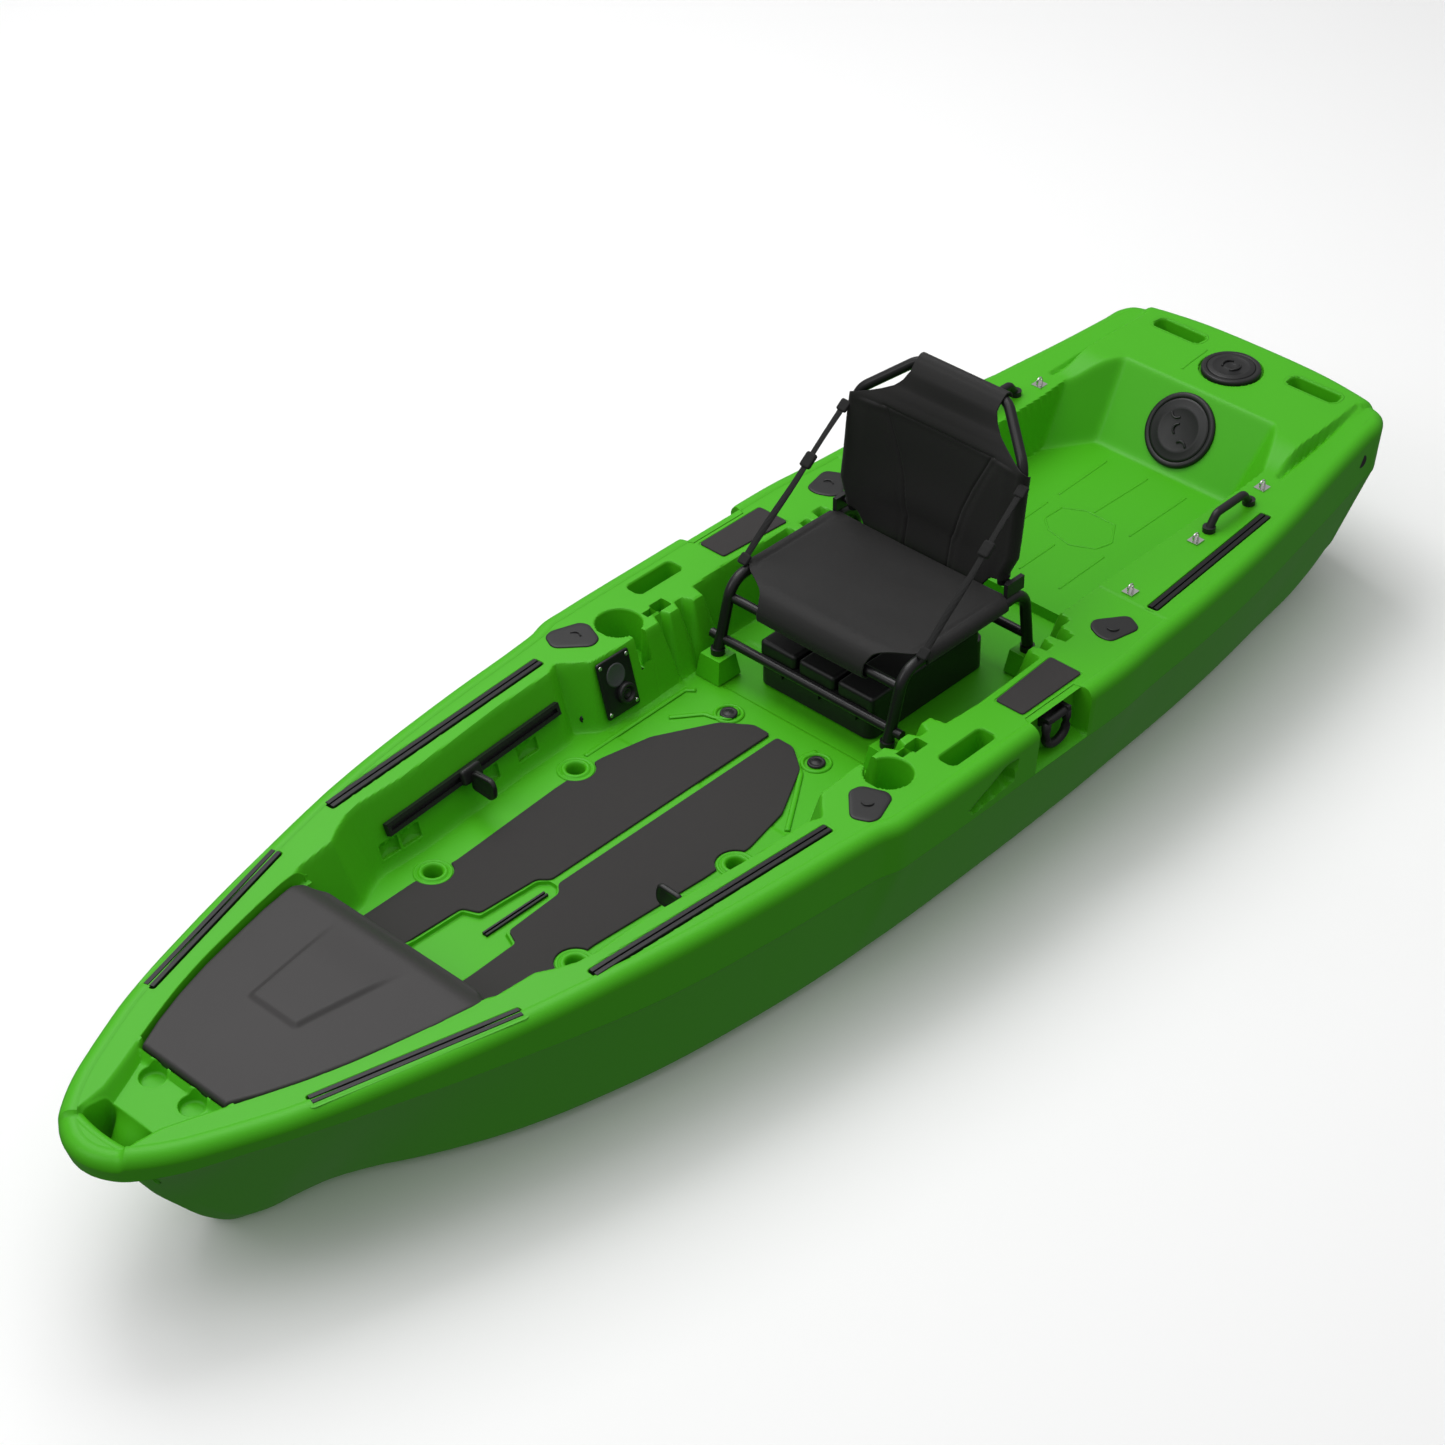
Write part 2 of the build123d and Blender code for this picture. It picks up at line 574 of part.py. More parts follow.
def posts():
    """Moulded posts that the seat's four legs stand on."""
    solids = []
    for x in LEG_X:
        for side in (1, -1):
            low = Pos(x, SEAT_HALF * side, FLOOR_Z) * Rectangle(2 * POST_HALF_X + 18,
                                                                2 * POST_HALF_Y + 12)
            top = Pos(x, SEAT_HALF * side, FOOT_Z) * Rectangle(2 * POST_HALF_X,
                                                               2 * POST_HALF_Y)
            solids.append(loft([low, top], ruled=True))
    keep("seat_posts", *solids)


def covers():
    """Bow cover, hatches, corner covers and pads."""
    top = extrude(Pos(0, 0, BOW_RECESS_Z + COVER_SEAT) * bow_cover_face(0), amount=COVER_THICK)
    lip = block(COVER_LIP_X, COVER_LIP_X + 18, -COVER_REAR_HALF + 50, COVER_REAR_HALF - 50,
                COVER_TOP_Z - COVER_LIP_DEPTH, COVER_TOP_Z - COVER_THICK + 1)
    raised = prism([(COVER_LIP_X + 30, 98), (COVER_MID_X, 58), (COVER_MID_X, -58),
                    (COVER_LIP_X + 30, -98)], COVER_TOP_Z - COVER_THICK + 2, COVER_TOP_Z + 5)
    cover = top + lip + raised
    for side in (1, -1):
        reach = swing_room() - SEAT_GAP - COVER_PIN_Y
        pin = Pos(COVER_AXIS_X, (COVER_PIN_Y + reach / 2) * side, COVER_AXIS_Z)
        cover += pin * Rot(90, 0, 0) * Cylinder(PIN_R, reach)
    keep("bow_cover", cover)

    wall = tank_wall_plane()
    ring = Cylinder(TANK_HATCH_R, HATCH_THICK) - Cylinder(TANK_HATCH_R - RING_WIDTH, 40)
    keep("tank_hatch_ring", wall * Pos(0, 0, HATCH_THICK / 2) * ring)
    lid = Cylinder(TANK_HATCH_R - RING_WIDTH - 0.5, HATCH_THICK + 3)
    keep("tank_hatch_lid", wall * Pos(0, 0, (HATCH_THICK + 3) / 2 + SEAT_GAP) * lid)
    ring = disc(STERN_HATCH_X, 0, STERN_DECK_Z, STERN_DECK_Z + HATCH_THICK, STERN_HATCH_R)
    ring -= disc(STERN_HATCH_X, 0, 0, CLEAR_Z, STERN_HATCH_R - RING_WIDTH)
    keep("stern_hatch_ring", ring)
    keep("stern_hatch_lid", disc(STERN_HATCH_X, 0, STERN_DECK_Z + SEAT_GAP,
                                 STERN_DECK_Z + HATCH_THICK + 3,
                                 STERN_HATCH_R - RING_WIDTH - 0.5))
    solids = []
    for x in CORNER_COVER_X:
        for side in (1, -1):
            turn = 90 if x > 0 else -90
            plate = Pos(x, CORNER_COVER_Y * side, DECK_Z - CORNER_COVER_THICK + 1)
            face = plate * Rot(0, 0, turn * side) * RegularPolygon(CORNER_COVER_R, 5)
            solids.append(extrude(face, amount=CORNER_COVER_THICK))
    keep("corner_covers", *solids)
    solids = []
    for side in (1, -1):
        solids.append(block(PAD_X - PAD_LENGTH / 2 + 1, PAD_X + PAD_LENGTH / 2 - 1,
                            (PAD_Y - PAD_WIDTH / 2 + 1) * side,
                            (PAD_Y + PAD_WIDTH / 2 - 1) * side,
                            DECK_Z - PAD_THICK + 1, DECK_Z + 1))
    keep("side_pads", *solids)


def floor_gear():
    """Floor pads, plugs and the short floor track."""
    cut = prism(PLATE + [(x, -y) for x, y in reversed(PLATE)], 0, CLEAR_Z)
    for x, y in zip(SCUPPER_X, SCUPPER_Y):
        for side in (1, -1):
            cut += disc(x, y * side, 0, CLEAR_Z, SCUPPER_RING)
    port = prism(FLOOR_PAD, FLOOR_Z, FLOOR_Z + FLOOR_PAD_THICK) - cut
    keep("floor_pad_port", port)
    keep("floor_pad_starboard", mirror_y(port))
    front, rear = FLOOR_TRACK_X
    low = FLOOR_Z - PLATE_DEPTH
    track = block(front, rear, FLOOR_TRACK_Y - FLOOR_TRACK_WIDTH / 2,
                  FLOOR_TRACK_Y + FLOOR_TRACK_WIDTH / 2, low, low + FLOOR_TRACK_DEPTH)
    track -= block(front, rear, FLOOR_TRACK_Y - FLOOR_TRACK_SLOT / 2,
                   FLOOR_TRACK_Y + FLOOR_TRACK_SLOT / 2, low + 2, low + 2 * FLOOR_TRACK_DEPTH)
    keep("floor_track", track)
    keep("floor_plugs", *[disc(PLUG_X, PLUG_Y * side, FLOOR_Z, FLOOR_Z + 4, PLUG_R)
                          for side in (1, -1)])


def deck_gear():
    """Gear tracks, handles, pad eyes and plugs."""
    for name in TRACKS:
        x, y, length, turn, z = track_line(name)
        solids = []
        for side in (1, -1):
            bed = Pos(x, y * side, z - TRACK_DEPTH / 2 + 1) * Rot(0, 0, turn * side)
            bar = Box(length, TRACK_WIDTH, TRACK_DEPTH)
            bar -= Pos(0, 0, 3) * Box(length + 2, TRACK_SLOT, TRACK_DEPTH)
            solids.append(bed * bar)
        keep(name, *solids)

    solids = []
    for x, y in zip(PAD_EYE_X, PAD_EYE_Y):
        for side in (1, -1):
            base = block(x - PAD_EYE_SIZE / 2, x + PAD_EYE_SIZE / 2,
                         y * side - PAD_EYE_SIZE / 2, y * side + PAD_EYE_SIZE / 2,
                         DECK_Z, DECK_Z + 3)
            half = PAD_EYE_SIZE / 2 - 5
            loop = tube([(x - half, y * side, DECK_Z + 1), (x - half, y * side, DECK_Z + 18),
                         (x + half, y * side, DECK_Z + 18), (x + half, y * side, DECK_Z + 1)],
                        7.0, PAD_EYE_ROD)
            solids.append(base + loop)
    keep("pad_eyes", *solids)

    solids = []
    for side in (1, -1):
        half = REAR_HANDLE_LENGTH / 2
        y = REAR_HANDLE_Y * side
        grip = tube([(REAR_HANDLE_X - half, y, DECK_Z + 6),
                     (REAR_HANDLE_X - half + 22, y, DECK_Z + REAR_HANDLE_RISE),
                     (REAR_HANDLE_X + half - 22, y, DECK_Z + REAR_HANDLE_RISE),
                     (REAR_HANDLE_X + half, y, DECK_Z + 6)], 18.0, REAR_HANDLE_R)
        for end in (-1, 1):
            grip += disc(REAR_HANDLE_X + end * half, y, DECK_Z, DECK_Z + 12, 14)
        solids.append(grip)
    keep("rear_handles", *solids)
    solids = []
    for side in (1, -1):
        spot = Pos(SIDE_PLUG_X, (SIDE_PLUG_Y + SEAT_GAP + SIDE_PLUG_LENGTH / 2) * side,
                   SIDE_PLUG_Z)
        solids.append(spot * Rot(90, 0, 0) * Cylinder(SIDE_PLUG_R, SIDE_PLUG_LENGTH))
    keep("side_plugs", *solids)

    for side, name in ((1, "port"), (-1, "starboard")):
        bracket = block(HANDLE_X - HANDLE_WIDTH / 2, HANDLE_X + HANDLE_WIDTH / 2,
                        HANDLE_RECESS_Y * side, (HANDLE_RECESS_Y + 6) * side,
                        HANDLE_Z - 14, HANDLE_Z + 14)
        for end in (-1, 1):
            x = HANDLE_X + end * (HANDLE_WIDTH / 2 - 5)
            bracket += block(x - 5, x + 5, (HANDLE_RECESS_Y + 4) * side,
                             (HANDLE_RECESS_Y + 27) * side, HANDLE_Z - 10, HANDLE_Z + 10)
        keep("handle_bracket_" + name, bracket)
        half = HANDLE_WIDTH / 2 - 18
        y = (HANDLE_RECESS_Y + 19) * side
        low = HANDLE_Z - HANDLE_DROP
        loop = tube([(HANDLE_X - half, y, HANDLE_Z), (HANDLE_X - half, y, low),
                     (HANDLE_X + half, y, low), (HANDLE_X + half, y, HANDLE_Z)],
                    15.0, HANDLE_ROD_R)
        bar = HANDLE_WIDTH - 20 - 2 * SEAT_GAP
        loop += Pos(HANDLE_X, y, HANDLE_Z) * Rot(0, 90, 0) * Cylinder(HANDLE_ROD_R + 1, bar)
        keep("handle_loop_" + name, loop)


def foot_rails():
    """Foot rails on the well's walls, with their sliding pegs."""
    turn = math.degrees(math.atan2(RAIL_FRONT_Y - RAIL_REAR_Y, RAIL_FRONT_X - RAIL_REAR_X))
    length = math.hypot(RAIL_FRONT_Y - RAIL_REAR_Y, RAIL_FRONT_X - RAIL_REAR_X)
    mid_x = (RAIL_FRONT_X + RAIL_REAR_X) / 2
    mid_y = (RAIL_FRONT_Y + RAIL_REAR_Y) / 2
    for side, name in ((1, "port"), (-1, "starboard")):
        place = Pos(mid_x, mid_y * side, RAIL_Z) * Rot(0, 0, turn * side)
        lean = Rot(-WALL_LEAN * side, 0, 0)
        rail = Box(length, RAIL_THICK, RAIL_HEIGHT)
        rail -= Pos(0, -side * 4, 0) * Box(length - 16, RAIL_THICK, 10)
        keep("foot_rail_" + name, place * lean * rail)
        peg_at = (PEG_X - mid_x) / math.cos(math.radians(turn))
        inner = -side * (RAIL_THICK / 2 + 0.5)
        slide = lean * Pos(0, inner - side * 6, 0) * Box(54, 12, 34)
        foot = Pos(0, inner - side * (8 + PEG_REACH / 2), -PEG_WIDTH / 4)
        foot = foot * Box(14, PEG_REACH, PEG_WIDTH)
        keep("foot_peg_" + name, place * Pos(peg_at, 0, 0) * (slide + foot))


def drive():
    """Control panel, drive pod, intake grille and jet nozzle."""
    wall = panel_plane()
    panel = Pos(0, 0, PANEL_THICK / 2 + SEAT_GAP) * Box(PANEL_LENGTH, PANEL_HEIGHT, PANEL_THICK)
    keep("control_panel", wall * panel)
    socket = Cylinder(SOCKET_R, 10) - Pos(0, 0, 4) * Cylinder(SOCKET_R - 7, 10)
    keep("control_socket", wall * Pos(12, -24, PANEL_THICK + SEAT_GAP + 5) * socket)

    pod = block(POD_FRONT_X, POD_REAR_X, -POD_HALF, POD_HALF, FLOOR_Z + SEAT_GAP, POD_DECK_Z)
    pod = fillet(pod.edges().filter_by(Axis.Z), 24)
    pitch = (2 * POD_HALF + POD_SEAM) / POD_MODULES
    for index in range(POD_MODULES):
        y = -POD_HALF + index * pitch
        module = block(POD_FRONT_X - 4, POD_REAR_X + 20, y, y + pitch - POD_SEAM,
                       POD_DECK_Z - 1, POD_TOP_Z)
        pod += fillet(module.edges().filter_by(Axis.Z) + module.faces().sort_by(Axis.Z)[-1].edges(),
                      9)
    pod += block(WELL_FRONT_X - WELL_GAP, WELL_REAR_X + WELL_GAP, -WELL_HALF + WELL_GAP,
                 WELL_HALF - WELL_GAP, GRILLE_Z + 12, FLOOR_Z + 5)
    keep("drive_pod", pod)
    thick, wide, tall = LATCH_SIZE
    keep("pod_latches", *[block(POD_FRONT_X + SEAT_GAP, POD_FRONT_X + SEAT_GAP + thick,
                                y - wide / 2, y + wide / 2, POD_DECK_Z - 4 - tall, POD_DECK_Z - 4)
                          for y in (-LATCH_Y, 0, LATCH_Y)])
    grille = block(WELL_FRONT_X - WELL_GAP, WELL_REAR_X + WELL_GAP, -WELL_HALF + WELL_GAP,
                   WELL_HALF - WELL_GAP, GRILLE_Z, GRILLE_Z + 12)
    bars = 9
    pitch = (WELL_FRONT_X - WELL_REAR_X - 2 * WELL_GAP - 60) / bars
    for index in range(bars):
        x = WELL_REAR_X + WELL_GAP + 30 + (index + 0.5) * pitch
        grille -= block(x - pitch / 4, x + pitch / 4, -WELL_HALF + 24, WELL_HALF - 24,
                        GRILLE_Z - 5, GRILLE_Z + 30)
    keep("intake_grille", grille)
    nozzle_x = WELL_REAR_X + WELL_GAP - SEAT_GAP - NOZZLE_LENGTH / 2
    nozzle = Rot(0, 90, 0) * Cylinder(NOZZLE_R, NOZZLE_LENGTH)
    nozzle -= Pos(-20, 0, 0) * Rot(0, 90, 0) * Cylinder(NOZZLE_R - 6, NOZZLE_LENGTH)
    keep("jet_nozzle", Pos(nozzle_x, 0, NOZZLE_Z) * nozzle)


def seat():
    """Folding seat: base frame, sling, hinges, back frame, back sling and straps."""
    frame = None
    for side in (1, -1):
        y = SEAT_HALF * side
        rail = tube([(LEG_X[0], y, FOOT_Z + 8), (LEG_X[0] - 12, y, LOWER_BAR_Z + 10),
                     (SEAT_FRONT_X, y, SEAT_Z), (SEAT_REAR_X, y, SEAT_Z),
                     (LEG_X[1], y, FOOT_Z + 8)], (30.0, 50.0, 45.0), TUBE_R)
        for x in LEG_X:
            rail += disc(x, y, FOOT_Z + SEAT_GAP, FOOT_Z + 14, TUBE_R + 3)
        frame = rail if frame is None else frame + rail
    for x, z, half in ((LEG_X[0] - 38, UPPER_BAR_Z, SEAT_HALF),
                       (LEG_X[0] - 12, LOWER_BAR_Z, LOWER_BAR_HALF),
                       (LEG_X[1] + 8, LOWER_BAR_Z + 12, SEAT_HALF)):
        frame += Pos(x, 0, z) * Rot(90, 0, 0) * Cylinder(TUBE_R - 2, 2 * half)
    keep("seat_frame", frame)

    inner = SEAT_HALF - TUBE_R - SEAT_GAP
    sling = block(SEAT_FRONT_X - 8, HINGE_X + 19, -inner, inner, SEAT_Z - 2,
                  SEAT_Z - 2 + SLING_THICK)
    keep("seat_sling", sling)

    solids = []
    for side in (1, -1):
        plate = block(HINGE_X - 26, HINGE_X + 26, (SEAT_HALF - 5) * side,
                      (SEAT_HALF + 5) * side, SEAT_Z + TUBE_R + SEAT_GAP, HINGE_Z + 12)
        reach = SEAT_HALF - BACK_HALF - TUBE_R + 1 - SEAT_GAP
        pin = Pos(HINGE_X, (SEAT_HALF - reach / 2) * side, HINGE_Z) * Rot(90, 0, 0)
        solids.append(plate + pin * Cylinder(PIN_R, reach))
    keep("seat_hinges", *solids)

    start, end = BACK_FLARE
    port = [(HINGE_X, BACK_HALF, HINGE_Z - 10), (HINGE_X, BACK_HALF, HINGE_Z + start),
            (HINGE_X, BACK_WIDE, HINGE_Z + end), (BACK_BEND_X, BACK_WIDE, BACK_BEND_Z),
            (BACK_TOP_X, BACK_TOP_HALF, BACK_TOP_Z)]
    bends = (20.0, 30.0, 50.0, 50.0)
    back = tube(port + [(x, -y, z) for x, y, z in reversed(port)], bends + bends[::-1],
                TUBE_R - 1)
    keep("back_frame", back)
    half = BACK_HALF - TUBE_R + 1 - SEAT_GAP
    face = Polyline((HINGE_X - 8, 0, HINGE_Z + 14), (HINGE_X + 4, 0, HINGE_Z + 14),
                    (BACK_BEND_X + 4, 0, BACK_BEND_Z - 30), (BACK_BEND_X - 8, 0, BACK_BEND_Z - 30),
                    close=True)
    keep("back_sling", extrude(make_face(face), amount=half, dir=(0, 1, 0), both=True))

    for side, name in ((1, "port"), (-1, "starboard")):
        top_y = BACK_WIDE + TUBE_R - 1 + STRAP_WIDTH / 2 + SEAT_GAP
        top = Vector(BACK_BEND_X + 16, top_y * side, STRAP_TOP_Z)
        low = Vector(SEAT_FRONT_X - 36, (SEAT_HALF + 4) * side, SEAT_Z + TUBE_R + 1 + SEAT_GAP)
        along = (low - top).normalized()
        plane = Plane((top + low) * 0.5, x_dir=along, z_dir=along.cross(Vector(0, 1, 0)))
        strap = plane * Box((low - top).length, STRAP_WIDTH, STRAP_THICK)
        keep("strap_" + name, strap)


mouldings()
posts()
covers()
floor_gear()
deck_gear()
foot_rails()
drive()
seat()

os.makedirs("parts", exist_ok=True)
for node, shape in PARTS.items():
    export_step(shape, "parts/" + node + ".step")
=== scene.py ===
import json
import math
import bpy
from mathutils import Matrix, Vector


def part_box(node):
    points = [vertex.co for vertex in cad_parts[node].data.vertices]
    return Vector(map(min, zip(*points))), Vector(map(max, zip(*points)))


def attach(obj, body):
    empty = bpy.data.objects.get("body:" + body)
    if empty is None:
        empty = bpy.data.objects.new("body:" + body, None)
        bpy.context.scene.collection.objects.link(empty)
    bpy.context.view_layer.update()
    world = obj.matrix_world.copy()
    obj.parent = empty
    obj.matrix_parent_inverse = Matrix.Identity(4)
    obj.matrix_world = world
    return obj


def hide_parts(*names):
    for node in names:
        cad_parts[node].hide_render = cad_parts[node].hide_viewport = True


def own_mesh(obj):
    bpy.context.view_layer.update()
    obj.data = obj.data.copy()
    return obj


bl_info = {
    "name": "Jet Kayak",
    "version": (1, 0, 0),
    "blender": (4, 5, 0),
    "location": "View3D > Sidebar > Kayak",
    "description": "Moulded hull, deck, seat and fittings of a jet kayak around its CAD frame",
    "category": "Add Mesh",
}

import bmesh
import bpy
import numpy as np
from mathutils import Vector
from mathutils.geometry import tessellate_polygon

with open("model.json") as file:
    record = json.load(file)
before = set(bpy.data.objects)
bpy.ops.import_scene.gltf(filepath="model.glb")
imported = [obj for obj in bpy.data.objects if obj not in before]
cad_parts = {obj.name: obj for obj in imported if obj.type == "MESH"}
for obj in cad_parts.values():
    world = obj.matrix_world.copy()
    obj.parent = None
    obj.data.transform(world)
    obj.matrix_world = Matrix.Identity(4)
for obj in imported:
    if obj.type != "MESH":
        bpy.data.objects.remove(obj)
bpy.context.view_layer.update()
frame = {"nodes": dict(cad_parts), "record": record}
NODES = frame["nodes"]
SIDES = ((1, "port"), (-1, "starboard"))
BACK_HALF_LOW = 196.0     # half width of the back frame at its hinges and above them
BACK_HALF_TOP = 214.0

# Outline of the gunwale with the form under it, from the middle of the stern to the stem, in
# millimetres: outline x, y, height of the knuckle, chine x, y, z, bottom edge x, y, z
LINES = np.array([
    (-1672, 0, 290, -1662, 0, 140, -1640, 0, 96),
    (-1671, 80, 290, -1661, 70, 140, -1640, 56, 96),
    (-1667, 160, 290, -1657, 138, 141, -1637, 112, 97),
    (-1657, 235, 290, -1648, 200, 142, -1631, 160, 98),
    (-1643, 300, 290, -1634, 240, 140, -1620, 193, 92),
    (-1626, 341, 290, -1612, 268, 122, -1602, 212, 74),
    (-1600, 357, 288, -1582, 282, 92, -1574, 221, 50),
    (-1545, 364, 284, -1535, 289, 76, -1530, 226, 38),
    (-1412, 382, 272, -1412, 302, 44, -1412, 242, 12),
    (-1253, 408, 272, -1253, 316, 32, -1253, 254, 3),
    (-1041, 440, 272, -1041, 341, 28, -1041, 276, 0),
    (-829, 461, 272, -829, 359, 28, -829, 294, 0),
    (-640, 474, 272, -640, 370, 28, -640, 306, 0),
    (-590, 479, 272, -590, 373, 28, -590, 308, 0),
    (-400, 482, 272, -400, 380, 28, -400, 316, 0),
    (-193, 482, 272, -193, 384, 28, -193, 318, 0),
    (60, 480, 272, 60, 384, 28, 60, 318, 0),
    (118, 478, 272, 118, 382, 28, 118, 316, 0),
    (160, 466, 272, 160, 381, 28, 160, 314, 0),
    (200, 461, 272, 200, 379, 28, 200, 310, 0),
    (401, 443, 274, 401, 362, 28, 401, 294, 0),
    (693, 405, 280, 693, 314, 28, 693, 250, 0),
    (962, 349, 300, 962, 229, 28, 962, 168, 0),
    (1079, 320, 308, 1079, 170, 28, 1079, 116, 0),
    (1150, 301, 313, 1150, 128, 28, 1150, 80, 0),
    (1220, 281, 318, 1220, 97, 29, 1220, 56, 0),
    (1291, 260, 322, 1291, 82, 31, 1291, 42, 1),
    (1345, 242, 325, 1345, 67, 26, 1345, 36, 0),
    (1397, 223, 325, 1393, 49, 34, 1392, 22, 4),
    (1447, 201, 324, 1444, 46, 84, 1444, 18, 48),
    (1503, 175, 321, 1494, 42, 150, 1492, 15, 108),
    (1560, 146, 317, 1546, 42, 214, 1543, 13, 180),
    (1609, 113, 314, 1567, 42, 262, 1560, 12, 224),
    (1640, 86, 312, 1576, 36, 286, 1566, 10, 250),
    (1660, 55, 311, 1581, 26, 294, 1568, 7, 260),
    (1671, 25, 311, 1584, 12, 297, 1570, 4, 266),
    (1674, 0, 311, 1585, 0, 298, 1571, 0, 268),
], float)
SHEER_X = (-1276.0, 760.0, 949.0, 1337.0, 1674.0)
SHEER_Z = (392.0, 392.0, 386.0, 379.0, 371.0)

# Inner edge of the cockpit from the bow to the tank well: x, distance from the middle
FOOT_EDGE = [
    (972, -400), (972, 246), (945, 258), (862, 266), (832, 284), (791, 303), (757, 309), (655, 308),
    (515, 319), (369, 334), (231, 338), (202, 351), (150, 302), (60, 297), (-60, 297), (-300, 290),
    (-300, -400),
]
SEAT_EDGE = [
    (200, -400), (200, 290), (-2, 297), (-30, 286), (-47, 322), (-66, 322), (-74, 302), (-98, 302),
    (-108, 324), (-128, 324), (-140, 300), (-166, 300), (-173, 334), (-265, 340), (-458, 334),
    (-464, 300), (-482, 300), (-488, 328), (-508, 328), (-514, 300), (-530, 300), (-536, 336),
    (-562, 336), (-570, 298), (-598, 298), (-604, 268), (-900, 268),
    (-900, -400),
]


class HullSizes(bpy.types.PropertyGroup):
    """Sizes of the moulded hull and deck."""
    row_step: bpy.props.FloatProperty(
        name="Row step", description="Spacing of the deck's rows along the boat",
        default=0.0038, unit="LENGTH")
    rim_inset: bpy.props.FloatProperty(
        name="Rim inset", description="Width of the outer rim that belongs to the hull's skin",
        default=0.030, unit="LENGTH")
    rim_round: bpy.props.FloatProperty(
        name="Rim rounding", description="Radius of the gunwale's outer edge",
        default=0.024, unit="LENGTH")
    foot_floor: bpy.props.FloatProperty(
        name="Foot well floor", description="Height of the foot well's floor",
        default=0.250, unit="LENGTH")
    tank_floor: bpy.props.FloatProperty(
        name="Tank well floor", description="Height of the tank well's floor",
        default=0.270, unit="LENGTH")
    stern_deck: bpy.props.FloatProperty(
        name="Stern deck", description="Height of the raised stern deck",
        default=0.426, unit="LENGTH")


class KayakColours(bpy.types.PropertyGroup):
    """Colours of the boat's finishes."""
    shell: bpy.props.FloatVectorProperty(
        name="Shell", description="Moulded green plastic", subtype="COLOR", size=3,
        default=(0.058, 0.400, 0.006), min=0, max=1)
    dark: bpy.props.FloatVectorProperty(
        name="Dark plastic", description="Covers, hatches and fittings", subtype="COLOR", size=3,
        default=(0.030, 0.028, 0.028), min=0, max=1)
    foam: bpy.props.FloatVectorProperty(
        name="Foam", description="Deck pads", subtype="COLOR", size=3,
        default=(0.028, 0.0255, 0.0255), min=0, max=1)
    cloth: bpy.props.FloatVectorProperty(
        name="Seat cloth", description="Coated cloth of the seat", subtype="COLOR", size=3,
        default=(0.008, 0.0076, 0.0074), min=0, max=1)
    tube: bpy.props.FloatVectorProperty(
        name="Tube", description="Painted seat tubes", subtype="COLOR", size=3,
        default=(0.006, 0.006, 0.0065), min=0, max=1)


def sizes():
    """The hull sizes set in the scene."""
    return bpy.context.scene.kayak_sizes


def colours():
    """The finish colours set in the scene."""
    return bpy.context.scene.kayak_colours


def spline(table, count):
    """Cubic Hermite curve through the rows of a table, evenly spaced along its first two
    columns' length, with tangents from the neighbouring rows."""
    table = np.asarray(table, float)
    step = np.hypot(*np.diff(table[:, :2], axis=0).T)
    t = np.concatenate([[0], np.cumsum(step)])
    slope = np.gradient(table, t, axis=0)
    at = np.linspace(0, t[-1], count)
    k = np.clip(np.searchsorted(t, at) - 1, 0, len(t) - 2)
    h = (t[k + 1] - t[k])[:, None]
    u = ((at - t[k])[:, None]) / h
    return ((2 * u**3 - 3 * u**2 + 1) * table[k] + (u**3 - 2 * u**2 + u) * h * slope[k]
            + (3 * u**2 - 2 * u**3) * table[k + 1] + (u**3 - u**2) * h * slope[k + 1])


def low_blend(a, b, k):
    """Smooth minimum: the lower of two heights, rounded over a band k high."""
    h = np.clip(0.5 + 0.5 * (b - a) / k, 0, 1)
    return b * (1 - h) + a * h - k * h * (1 - h)


def high_blend(a, b, k):
    """Smooth maximum of two heights."""
    return -low_blend(-a, -b, k)


def ease(x):
    """Smooth step from 0 to 1."""
    x = np.clip(x, 0, 1)
    return x * x * (3 - 2 * x)


def edge_distance(x, y, points):
    """Signed distance to a closed outline, less than 0 inside it: the least distance to its
    edges, with the sign from how many of them a ray crosses."""
    far = np.full(np.shape(x), 1e9)
    inside = np.zeros(np.shape(x), bool)
    points = np.asarray(points, float)
    for (x0, y0), (x1, y1) in zip(points, np.roll(points, -1, axis=0)):
        ex, ey = x1 - x0, y1 - y0
        t = np.clip(((x - x0) * ex + (y - y0) * ey) / (ex * ex + ey * ey + 1e-9), 0, 1)
        far = np.minimum(far, np.hypot(x - x0 - t * ex, y - y0 - t * ey))
        crosses = ((y0 > y) != (y1 > y)) & (x < ex * (y - y0) / (ey if ey else 1e-9) + x0)
        inside ^= crosses
    return np.where(inside, -far, far)


def box_distance(x, y, x0, x1, y0, y1, radius):
    """Signed distance to a box with round corners."""
    u = np.abs(x - (x0 + x1) / 2) - (x1 - x0) / 2 + radius
    v = np.abs(y - (y0 + y1) / 2) - (y1 - y0) / 2 + radius
    return np.hypot(np.maximum(u, 0), np.maximum(v, 0)) + np.minimum(np.maximum(u, v), 0) - radius


def build_mesh(name, verts, quads, normals=None):
    """Mesh from vertices in millimetres and rows of four corners."""
    mesh = bpy.data.meshes.new(name)
    mesh.vertices.add(len(verts))
    mesh.vertices.foreach_set("co", (np.asarray(verts) / 1000).astype(np.float32).ravel())
    mesh.loops.add(quads.size)
    mesh.loops.foreach_set("vertex_index", quads.astype(np.int32).ravel())
    mesh.polygons.add(len(quads))
    mesh.polygons.foreach_set("loop_start", np.arange(len(quads), dtype=np.int32) * 4)
    mesh.update(calc_edges=True)
    mesh.validate()
    mesh.shade_smooth()
    if normals is not None and len(mesh.loops) == normals.size // 3:
        mesh.normals_split_custom_set(normals.reshape(-1, 3).tolist())
    obj = bpy.data.objects.new(name, mesh)
    bpy.context.scene.collection.objects.link(obj)
    return obj


